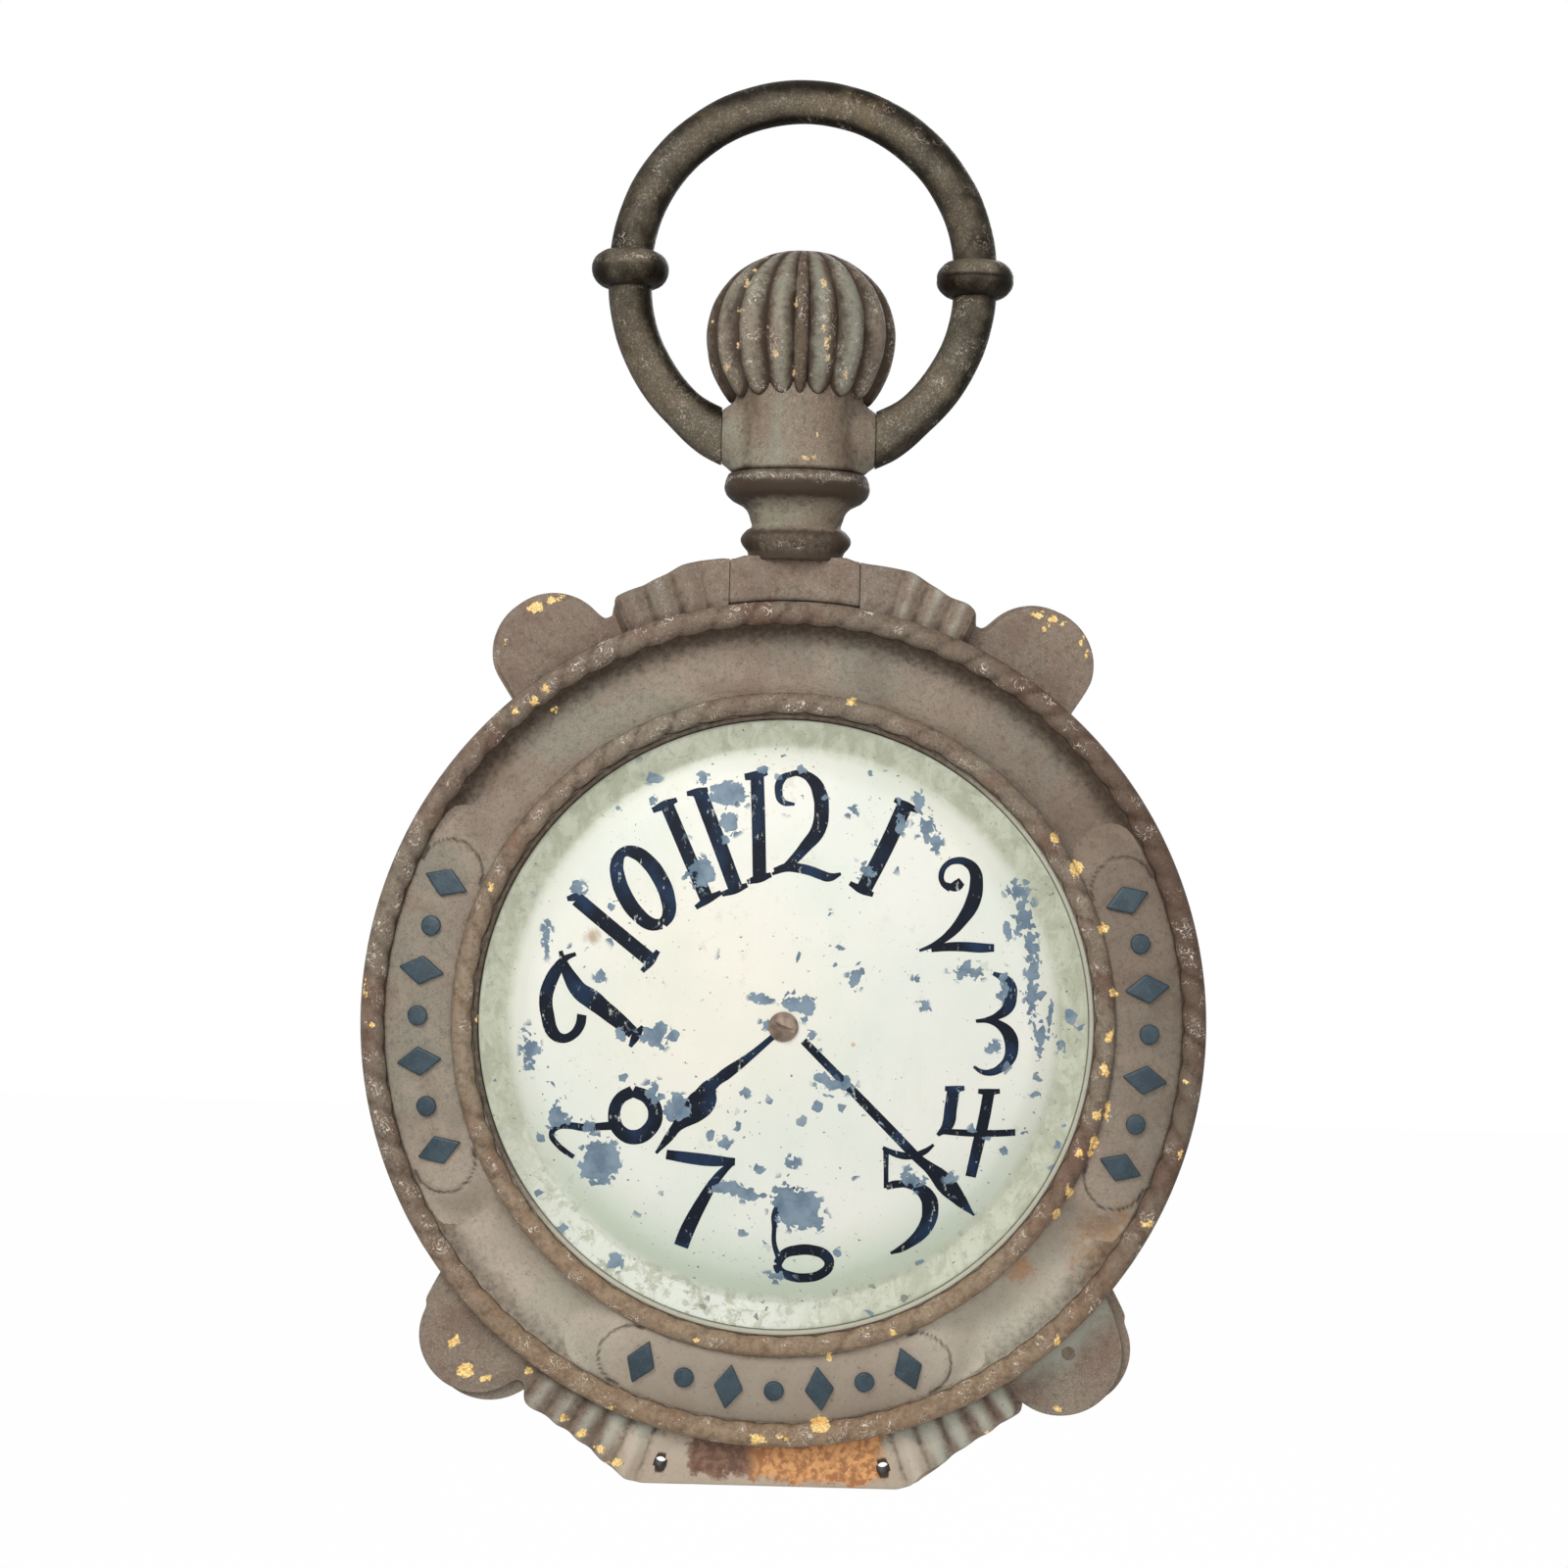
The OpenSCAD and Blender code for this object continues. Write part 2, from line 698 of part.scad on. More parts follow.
module rope(mid_r, half, turns) {
    n = turns * rope_steps;
    m = rope_sides;
    points = [for (i = [0:n - 1]) for (j = [0:m - 1]) rope_point(mid_r, half, turns, i, j)];
    faces = [
        for (i = [0:n - 1]) for (j = [0:m - 1])
            let (a = i * m + j, b = i * m + (j + 1) % m, c = ((i + 1) % n) * m + (j + 1) % m, d = ((i + 1) % n) * m + j)
            each [[a, b, c], [a, c, d]]
    ];
    polyhedron(points, faces);
}

module outer_rope(rear) {
    color(iron_paint)
        on_face(rear) translate([0, 0, seat_out_h]) rope(ring_r - rope_out_r, rope_out_r, rope_out_turns);
}

module inner_rope(rear) {
    color(iron_paint)
        on_face(rear) translate([0, 0, seat_in_h]) rope(rope_in_in + rope_in_r, rope_in_r, rope_in_turns);
}

// Raised panels in the cove

panel_out = rope_out_in - seat_gap;
panel_in = rope_in_out + seat_gap;
panel_mid = (panel_out + panel_in) / 2;
panel_half = (panel_out - panel_in) / 2;

module panel_outline() {
    intersection() {
        difference() {
            circle(r = panel_out, $fn = 360);
            circle(r = panel_in, $fn = 360);
        }
        polygon([[0, 0], far * [-sin(panel_half_angle), cos(panel_half_angle)],
            far * [0, 1.2], far * [sin(panel_half_angle), cos(panel_half_angle)]]);
    }
    for (side = [-1, 1])
        rotate(side * panel_half_angle) translate([0, panel_mid]) circle(r = panel_half);
}

// Height of the panels' convex face at a radius, above the middle plane
panel_crest = 4;
function panel_face(r) =
    seat_in_h + (seat_out_h - seat_in_h) * (r - panel_in) / (panel_out - panel_in)
    + panel_crest * (1 - pow((r - panel_mid) / panel_half, 2));

// Fills the cove from its floor to the convex face, raised by lift
module panel_section(lift = 0) {
    steps = 8;
    difference() {
        polygon(concat(
            [[panel_mid, cove_mid_h - cove_sag - 2], [panel_out, seat_out_h - 4]],
            [for (i = [0:steps]) let (r = panel_out - 2 * panel_half * i / steps) [r, panel_face(r) + lift]],
            [[panel_in, seat_in_h - 4]]
        ));
        difference() {
            translate([panel_in - 20, -20]) square([panel_out - panel_in + 40, 80]);
            translate(cove_centre) circle(r = cove_r - seat_gap);
        }
    }
}

// Lozenges and discs by turns, where such signs carry raised work
lozenge_x = 9.5;
lozenge_y = 15;
disc_r = 6.5;
module panel_marks() {
    step = 2 * panel_half_angle / (marks - 0.5);
    intersection() {
        for (i = [0:marks - 1])
            rotate((i - (marks - 1) / 2) * step)
                translate([0, panel_mid, cove_mid_h])
                    if (i % 2 == 0)
                        linear_extrude(seat_in_h)
                            polygon([[-lozenge_x, 0], [0, -lozenge_y], [lozenge_x, 0], [0, lozenge_y]]);
                    else cylinder(r = disc_r, h = seat_in_h);
        rotate_extrude($fn = 180) panel_section(mark_h);
    }
}

module panel(angle, rear) {
    color(iron_paint)
        on_face(rear)
            rotate(angle) {
                intersection() {
                    linear_extrude(seat_in_h + 10) panel_outline();
                    rotate_extrude($fn = 180) panel_section();
                }
                color(mark_paint) panel_marks();
            }
}

// Dials and what carries them

dial_hole = screw_d / 2 + 0.5;
dial_steps = 18;
dial_radii = [for (i = [0:dial_steps]) dial_hole + (groove_r - dial_hole) * i / dial_steps];
function dome_h(r) = dome_top - dome_r + sqrt(dome_r * dome_r - r * r);

module dial(rear) {
    color(dial_paint)
        on_face(rear)
            rotate_extrude($fn = 180)
                polygon(concat(
                    [for (r = dial_radii) [r, dome_h(r)]], [[dial_r, rim_h], [dial_r, rim_h - dial_t]],
                    [for (i = [dial_steps:-1:0]) [dial_radii[i], dome_h(dial_radii[i]) - dial_t]]
                ));
}

module dial_screw(rear) {
    color(bare_iron)
        on_face(rear)
            translate([0, 0, dome_top + seat_gap])
                difference() {
                    union() {
                        intersection() {
                            translate([0, 0, screw_head_h - head_ball]) sphere(r = head_ball);
                            cylinder(d = screw_head_d, h = screw_head_h);
                        }
                        translate([0, 0, -screw_len]) cylinder(d = screw_d, h = screw_len + 1);
                    }
                    rotate(-22)
                        translate([-screw_head_d, -slot_w / 2, screw_head_h * 0.55])
                            cube([2 * screw_head_d, slot_w, screw_head_h]);
                }
}
head_ball = (pow(screw_head_d / 2, 2) + pow(screw_head_h - 1, 2)) / (2 * (screw_head_h - 1));

module dial_post() {
    color(bare_iron)
        on_face()
            difference() {
                translate([0, 0, -post_end]) cylinder(d = post_d, h = 2 * post_end);
                for (side = [-1, 1])
                    translate([0, 0, side > 0 ? post_end - screw_len : -post_end - 1])
                        cylinder(d = screw_d + 2 * close_fit, h = screw_len + 1);
            }
}

module dial_bar() {
    reach = opening_r - 1;
    color(bare_iron)
        on_face()
            difference() {
                translate([-reach, -bar_w / 2, -bar_t / 2]) cube([2 * reach, bar_w, bar_t]);
                translate([0, 0, -bar_t]) cylinder(d = post_d + 2 * close_fit, h = 2 * bar_t);
            }
}

bow_arch();
bow_arm_left();
bow_arm_right();
bow_collar(-1);  // bow_collar_left
bow_collar(1);  // bow_collar_right
pivot_rod();
pivot_pins();
crown();
crown_stud();
pendant();
neck();
hanger_eye_bolt();
bearing_plate();
hanger_nut();
case_front();
case_rear();
pedestal_block();
ear_rivets();
outer_rope(false);  // outer_rope_front
outer_rope(true);  // outer_rope_rear
inner_rope(false);  // inner_rope_front
inner_rope(true);  // inner_rope_rear
panel(90, false);  // left_panel_front
panel(-90, false);  // right_panel_front
panel(180, false);  // bottom_panel_front
panel(90, true);  // left_panel_rear
panel(-90, true);  // right_panel_rear
panel(180, true);  // bottom_panel_rear
dial(false);  // dial_front
dial(true);  // dial_rear
dial_screw(false);  // dial_screw_front
dial_screw(true);  // dial_screw_rear
dial_post();
dial_bar();
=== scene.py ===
# %% [markdown]
# # A watch-shaped trade sign
# The CAD model comes in as a fixed frame, and every piece made here goes where the frame says, in metres.
# Small fastenings stay as the CAD made them. The visible castings could stay too, but worn edges, rope
# strands and frayed paint need finer meshes than solids should carry, so those pieces are remade here.

# %% Load the frame
import math

import bmesh
import bpy
import numpy as np
from mathutils import Matrix, Vector, noise


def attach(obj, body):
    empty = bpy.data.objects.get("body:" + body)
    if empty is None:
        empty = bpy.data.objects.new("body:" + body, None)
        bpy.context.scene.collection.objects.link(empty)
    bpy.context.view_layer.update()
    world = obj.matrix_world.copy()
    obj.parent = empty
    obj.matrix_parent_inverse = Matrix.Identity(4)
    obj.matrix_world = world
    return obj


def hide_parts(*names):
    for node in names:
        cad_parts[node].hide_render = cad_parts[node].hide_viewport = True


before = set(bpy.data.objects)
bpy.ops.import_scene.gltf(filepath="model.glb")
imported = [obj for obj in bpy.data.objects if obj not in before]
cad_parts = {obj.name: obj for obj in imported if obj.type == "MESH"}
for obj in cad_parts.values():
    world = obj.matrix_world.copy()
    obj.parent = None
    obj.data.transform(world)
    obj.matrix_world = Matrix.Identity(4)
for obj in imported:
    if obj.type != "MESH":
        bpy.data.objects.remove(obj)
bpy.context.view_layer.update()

# %% [markdown]
# ## Helpers for objects and nodes
# A photographer's set has a few things that are put up again and again. Blender's own operators could put
# them up, but need a window and a selection. So objects, meshes and nodes are made straight from their
# data, and three short calls take up what each would repeat.


# %% Objects, meshes and nodes
def placed(name, data):
    """A new object in the scene."""
    made = bpy.data.objects.new(name, data)
    bpy.context.scene.collection.objects.link(made)
    return made


def mesh_from(name, bm):
    """A mesh made from a bmesh, which is then freed."""
    mesh = bpy.data.meshes.new(name)
    bm.to_mesh(mesh)
    bm.free()
    return mesh


def node(tree, kind, inputs=(), **settings):
    """A new node; inputs gives its sockets a value or another node's output."""
    made = tree.nodes.new(kind)
    for name, value in settings.items():
        setattr(made, name, value)
    for socket, value in dict(inputs).items():
        if isinstance(value, bpy.types.NodeSocket):
            tree.links.new(value, made.inputs[socket])
        else:
            made.inputs[socket].default_value = value
    return made


print("the frame has", len(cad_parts), "nodes")

# %% [markdown]
# ## Camera, light and floor
# The sign is seen from straight in front, level with its middle and 1.8 m away, and hangs a degree and a
# half out of plumb. The pieces could be turned by that much, but the frame fixes their places, so the
# camera is rolled instead.

# %% Camera
DISTANCE, LEVEL, ASIDE, LEAN = 1.815, -0.429, -0.0036, 1.5
scene = bpy.context.scene
camera = placed("camera", bpy.data.cameras.new("camera"))
camera.location = (ASIDE, -DISTANCE, LEVEL)
camera.rotation_euler = (math.radians(90), math.radians(-LEAN), 0)
camera.data.sensor_width = 36
camera.data.lens = 64.16
scene.camera = camera
scene.view_settings.view_transform = "Standard"
print("camera at", tuple(camera.location))

# %% [markdown]
# The background is white, but a world as bright as that would wash every colour out. So it is white only
# to the camera and to reflections, and the light on the sign comes from a weak world and large lamps, in
# which a colour renders about as it is written.

# %% World and lamps
world = bpy.data.worlds.new("studio")
scene.world = world
world.use_nodes = True
sky = world.node_tree
sky.nodes.clear()
rays = node(sky, "ShaderNodeLightPath").outputs
white = rays["Is Camera Ray"]
for kind in ("Is Glossy Ray", "Is Transmission Ray"):
    white = node(sky, "ShaderNodeMath", {0: white, 1: rays[kind]}, operation="MAXIMUM").outputs[0]
dim = node(sky, "ShaderNodeBackground", {"Color": (0.95, 0.97, 1.0, 1), "Strength": 0.21}).outputs[0]
bright = node(sky, "ShaderNodeBackground", {"Color": (1, 1, 1, 1), "Strength": 1.0}).outputs[0]
either = node(sky, "ShaderNodeMixShader", {0: white, 1: dim, 2: bright}).outputs[0]
node(sky, "ShaderNodeOutputWorld", {0: either})

# name, place, height of the point it is aimed at, diameter and watts
LAMPS = [
    ("key", (-0.9, -1.85, 0.95), -0.45, 1.2, 42), ("front", (0.1, -2.3, 0.1), -0.45, 0.9, 14),
    ("fill", (1.8, -1.5, -0.1), -0.5, 1.4, 5), ("back", (0.6, 2.2, 0.6), -0.45, 1.6, 24),
]
for name, place, aim, size, watts in LAMPS:
    light = bpy.data.lights.new(name, "AREA")
    light.shape, light.size, light.energy = "DISK", size, watts
    lamp = placed(name, light)
    lamp.location = place
    lamp.rotation_euler = (Vector((0, 0, aim)) - Vector(place)).to_track_quat("-Z", "Y").to_euler()
print("lamps:", [row[0] for row in LAMPS])

# %% [markdown]
# A floor lies far below the hanging sign. A plain white one would come out grey, so it glows for the
# camera alone, and stays matt to every other ray.

# %% Floor
FLOOR_Z, FLOOR_HALF, GLOW = -1.35, 6, 0.985
sheet = bmesh.new()
down = Matrix.Translation((0, 0, FLOOR_Z))
bmesh.ops.create_grid(sheet, x_segments=2, y_segments=2, size=FLOOR_HALF, matrix=down)
floor = placed("floor", mesh_from("floor", sheet))
floor_paint = bpy.data.materials.new("floor_paint")
floor_paint.use_nodes = True
tree = floor_paint.node_tree
matt = tree.nodes["Principled BSDF"]
matt.inputs["Base Color"].default_value = (0.9, 0.9, 0.9, 1)
matt.inputs["Roughness"].default_value = 0.9
seen = node(tree, "ShaderNodeLightPath").outputs["Is Camera Ray"]
share = node(tree, "ShaderNodeMath", {0: seen, 1: GLOW}, operation="MULTIPLY").outputs[0]
glow = node(tree, "ShaderNodeEmission").outputs[0]
mixed = node(tree, "ShaderNodeMixShader", {0: share, 1: matt.outputs[0], 2: glow}).outputs[0]
tree.links.new(mixed, tree.nodes["Material Output"].inputs[0])
floor.data.materials.append(floor_paint)
print("floor at", FLOOR_Z)

# %% [markdown]
# ## Sizes
# The same sizes as in the CAD, in millimetres. Shapes on the watch's face could be made upright, but lie
# flat here, with x to the right, y up and z out of the face, so that they can be turned round Z. They
# are stood upright when they are finished.

# %% Sizes
DIAL_Z = -583.22
RING_R, BODY_R = 272.0, 271.0
ROPE_OUT, ROPE_IN, ROPE_IN_R = 7.75, 6.9, 206
SEAT_OUT, SEAT_IN = 18.0, 25.0
OPENING_R, LEDGE_R = 196.0, 188.0
COVE_OUT, COVE_IN, COVE_SAG = 256.5, 213.0, 12.5
DOME_TOP, DIAL_R = 39.0, 195.5
PIVOT_Z = -204.72
BARREL_TOP, BARREL_FOOT = -171.22, -228.72
SEAM = 0.02
STAND = Matrix.Translation((0, 0, DIAL_Z)) @ Matrix.Rotation(math.radians(90), 4, "X")
print("the dial is", 2 * DIAL_R, "mm wide and its dome", DOME_TOP, "mm high")

# %% [markdown]
# ## Helpers for shapes
# Turned shapes are an outline spun round an axis. Castings have no sharp corners. A bevel on the spun
# mesh would do, but a short curve at each corner of the outline costs less and keeps the mesh even.


# %% Outlines, spins and joins
def rounded(points, radius, steps=3):
    """Replaces the corners of a closed outline by short curves."""
    out = []
    for i, p in enumerate(points):
        a, b, c = Vector(points[i - 1]), Vector(p), Vector(points[(i + 1) % len(points)])
        u, v = a - b, c - b
        if u.angle(v) > math.radians(160):
            out.append(tuple(b))
            continue
        reach = min(radius, u.length * 0.45, v.length * 0.45)
        start, end = b + u.normalized() * reach, b + v.normalized() * reach
        for k in range(steps + 1):
            t = k / steps
            out.append(tuple(start * (1 - t) ** 2 + b * 2 * t * (1 - t) + end * t * t))
    return out


def outward(bm):
    """Turns all faces of a shape outwards."""
    bmesh.ops.recalc_face_normals(bm, faces=bm.faces)
    return bm


def turned(bm, outline, steps, closed=True):
    """Spins an outline of (radius, height) points right round Z."""
    verts = [bm.verts.new((r, 0, h)) for r, h in outline]
    pairs = zip(verts, verts[1:] + verts[:1] if closed else verts[1:])
    edges = [bm.edges.new(pair) for pair in pairs]
    bmesh.ops.spin(bm, geom=verts + edges, axis=(0, 0, 1), angle=math.tau, steps=steps, use_merge=True)
    bmesh.ops.remove_doubles(bm, verts=bm.verts, dist=0.001)
    return outward(bm)


def thickened(bm):
    """Extrudes a flat shape and gives back how many vertices belong to its lower side."""
    bmesh.ops.extrude_face_region(bm, geom=bm.faces[:], use_keep_orig=True)
    bm.verts.ensure_lookup_table()
    return len(bm.verts) // 2


def eased(bm, radius):
    """Rounds a shape's sharp edges."""
    sharp = [e for e in bm.edges if len(e.link_faces) == 2 and e.calc_face_angle(0) > 1]
    bmesh.ops.bevel(bm, geom=sharp, offset=radius, segments=3, profile=0.5, affect="EDGES", material=-1)


def add_shape(bm, part):
    """Puts another shape into a shape."""
    mesh = mesh_from("part", part)
    bm.from_mesh(mesh)
    bpy.data.meshes.remove(mesh)


def result_of(made, *helpers):
    """What an object's modifiers or curve make, as a new shape; the objects are removed."""
    bm = bmesh.new()
    bm.from_mesh(made.evaluated_get(bpy.context.evaluated_depsgraph_get()).to_mesh())
    for spent in (made, *helpers):
        bpy.data.objects.remove(spent)
    return bm


print("a square with rounded corners has", len(rounded([(0, 0), (1, 0), (1, 1), (0, 1)], 0.2)), "points")

# %% [markdown]
# Dirt, rubbed edges, stripes of paint, and painted light and shade follow the shape, which a noise can't
# know. They could be masks painted by hand. Here they are values stored at the vertices, worked out from
# each one's place, which stay right when the shape changes.


# %% Wear along a shape
def layers(bm, *names):
    """New values at a shape's vertices, for the finishes to read."""
    return [bm.verts.layers.float.new(name) for name in names]


def smooth_step(x, low, high):
    t = min(1, max(0, (x - low) / (high - low)))
    return t * t * (3 - 2 * t)


def hump(x, middle, half):
    """1 at the middle, falling softly to nothing."""
    return math.exp(-((x - middle) / half) ** 2)


def humps(x, rows):
    """The heights of several humps at a place, from rows of (middle, half width, height)."""
    return [height * hump(x, middle, half) for middle, half, height in rows]


def lumps(point, size, seed=0.0):
    """Soft irregularity between -1 and 1; size is the lumps' width in millimetres."""
    return noise.noise(Vector(point) / size + Vector((seed, seed * 1.7, -seed)))


def clock_angle(co):
    """The angle of a point of the face in radians, clockwise from the top."""
    return math.atan2(co.x, co.y)


def on_face(angle, r, z):
    """The point of the face at a clock angle, a radius and a height."""
    return Vector((math.sin(angle) * r, math.cos(angle) * r, z))


print("half way up a soft step is", smooth_step(0.5, 0, 1))

# %% [markdown]
# ## Where the paint has gone
# Gold shows where the case is chipped, and the ground where the dial has flaked, each at its own place.
# A noise alone would scatter them anywhere. So each spot is an ellipse: x, z and its two half widths. A
# vertex stores how deep it lies in the nearest one, and the paint's nodes fray the edge.

# %% Chips of old gilding on the case, and flakes on the dial
CHIPS = [
    (-167.3, -318.4, 5.7, 3.8), (-156.7, -313.7, 3.2, 2.5), (-151.7, -312.3, 2.5, 1.9),
    (-186, -345.2, 1.9, 3.8), (-157.7, -372.1, 3.2, 2.5), (-165, -379.9, 3.2, 2.5),
    (-177.4, -386.5, 2.5, 2.5), (-153, -384.6, 2.5, 2.5), (158.8, -314.6, 4.5, 2.2), (168.6, -317.1, 4, 3),
    (174.8, -319.5, 3, 2.4), (190, -338.6, 2, 3), (186.5, -330.5, 1.5, 3), (162.5, -325.5, 1.4, 1.2),
    (208.7, -584.5, 3, 4), (205.7, -606.2, 3, 4.5), (210.2, -556.6, 3, 3), (202.6, -516.3, 3.5, 3),
    (184.5, -478, 5, 5), (170, -458.6, 3.5, 3.5), (-9.6, -848.7, 5.5, 3.2), (6, -846.5, 3.5, 2.5),
    (30.4, -839.4, 6, 5), (-50.5, -785.6, 2, 2.6), (35, -794.2, 2, 3), (75, -777.2, 3, 2),
    (181, -781.5, 2, 4.5), (-104, -832.3, 3.2, 1.6), (184, -829.3, 2.5, 2), (138, -843.6, 1.8, 1.5),
    (-208.1, -795.4, 3.8, 4.5), (-199.5, -813.4, 5.7, 5.1), (-186.8, -819.4, 3.8, 3.2),
    (-158.7, -813, 3.2, 2.5), (-135.3, -841.9, 3.2, 2.5), (-123.2, -851, 3.8, 2.5), (-111, -860.7, 4.5, 2.5),
    (-99.4, -869.8, 5.7, 2.5), (208.7, -631, 2.2, 6.4), (201.2, -635.1, 3.2, 3.2), (200.7, -653.4, 3.2, 5.1),
    (191.5, -659.9, 2.5, 3.2), (199, -659.7, 2.5, 2.5), (185.8, -685.3, 2.5, 5.1), (178, -699.3, 2.5, 4.5),
    (234, -704.9, 1.9, 2.5), (238.7, -703.9, 1.3, 3.2), (256.6, -659.6, 1.3, 3.2), (258.7, -612.4, 1.9, 1.9),
    (4.4, -222, 1.7, 0.9), (9.4, -221.5, 2, 1.7), (11, -208, 1.2, 2.2), (-189.5, -499.8, 1.9, 3.8),
    (-35.7, -110.8, 1.9, 3.2), (-40, -128.6, 1.7, 1.8), (-47.7, -163.8, 1.6, 3.4), (-39.4, -151.1, 1.3, 1.8),
    (-16.3, -158.3, 1.8, 2.2), (-3.6, -168.8, 1.4, 2.4), (12.9, -112.6, 2, 3.2), (16, -151, 1.6, 4.2),
    (28.9, -169.3, 1.2, 1.8), (13.7, -140.5, 1.2, 2.2), (-4.1, -125.5, 1, 2.6), (-56.6, -133.2, 1, 2),
    (-31, -102, 1, 1.6), (17, -160, 1.3, 2), (-268.1, -567.8, 1.3, 5.1), (-264.4, -589.7, 2.5, 1.9),
    (-194.2, -584.7, 3.2, 2.5), (37.7, -375.2, 3.2, 2.5),
]
FLAKES = [
    (-39, 146, 12, 7), (-37, 128, 6, 6), (-55, 156, 4, 4), (-89, 141, 3, 3), (-89, 156, 5, 3),
    (-110, 136, 2, 2), (-56, 96, 9, 9), (-134, 84, 5, 4), (-153, 53, 3, 10), (-118, 30, 3, 3),
    (40, 138, 4, 3), (51, 146, 2, 2), (52, 163, 2, 2), (83, 146, 3, 5), (88, 130, 6, 8), (94, 119, 4, 5),
    (56, 119, 2, 2), (51, 100, 5, 5), (72, 133, 3, 7), (148, 90, 7, 6), (153, 72, 7, 11), (157, 57, 4, 15),
    (159, 39, 4, 13), (142, 65, 2, 6), (117, 38, 9, 5), (46, 35, 5, 7), (32, 40, 2, 2), (28, 72, 2, 2),
    (85, 32, 3, 3), (88, 16, 3, 3), (92, 12, 2, 2), (141, 29, 3, 8), (159, 21, 4, 15), (164, -4, 4, 10),
    (171, 9, 2, 11), (178, -10, 3, 5), (134, -10, 5, 3), (-162, -20, 5, 11), (-81, -7, 8, 9),
    (-67, -54, 8, 8), (-81, -44, 6, 6), (-143, -61, 7, 9), (-115, -90, 12, 15), (-124, -68, 4, 4),
    (-23, -42, 3, 3), (-118, 28, 3, 4), (-103, -8, 3, 3), (-14, 18, 6, 3), (6, 16, 6, 5), (-10, 1, 4, 4),
    (15, 13, 6, 7), (18, -5, 3, 3), (-33, -104, 10, 4), (-19, -108, 11, 4), (3, -113, 8, 13), (8, -87, 4, 4),
    (-35, -77, 4, 4), (0, -162, 8, 3), (13, -117, 14, 13), (26, -124, 5, 5), (38, -145, 3, 3),
    (34, -36, 9, 5), (24, -32, 4, 3), (85, -96, 7, 6), (110, -94, 3, 3), (163, -40, 3, 2), (-104, -156, 4, 4),
]
# spots, height they are measured from, and least depth at the middle of a spot
SPOTS = {"chip": (CHIPS, 0.0, 0.0), "flake": (FLAKES, DIAL_Z, 5.5)}
SPOT_EDGE = 6


def store_spots(mesh, layer):
    """Stores at each vertex how deep it lies inside the nearest spot, in millimetres, plus 6."""
    spots, level, least = SPOTS[layer]
    place = np.empty(len(mesh.vertices) * 3)
    mesh.vertices.foreach_get("co", place)
    x, z = place[0::3] * 1000, place[2::3] * 1000 - level
    depth = np.full(len(x), -float(SPOT_EDGE))
    for at_x, at_z, a, b in spots:
        inside = 1 - np.hypot((x - at_x) / a, (z - at_z) / b)
        depth = np.maximum(depth, inside * max(least, min(a, b)))
    mesh.attributes.new(layer, "FLOAT", "POINT").data.foreach_set("value", depth + SPOT_EDGE)


print(len(CHIPS), "chips and", len(FLAKES), "flakes")

# %% [markdown]
# ## Helpers for finishes
# Painted images would need unwrapped pieces. Every finish is a node tree instead, which reads Object
# coordinates, so that it lies on the piece from all sides. Each short call makes a node and gives back
# its output, which keeps the trees readable. Sizes are in metres.


# %% Node helpers
def colour(code):
    """A colour as the screen shows it, turned into the light that Blender works with."""
    parts = [int(code[i:i + 2], 16) / 255 for i in (1, 3, 5)]
    return tuple(c / 12.92 if c <= 0.04045 else ((c + 0.055) / 1.055) ** 2.4 for c in parts) + (1,)


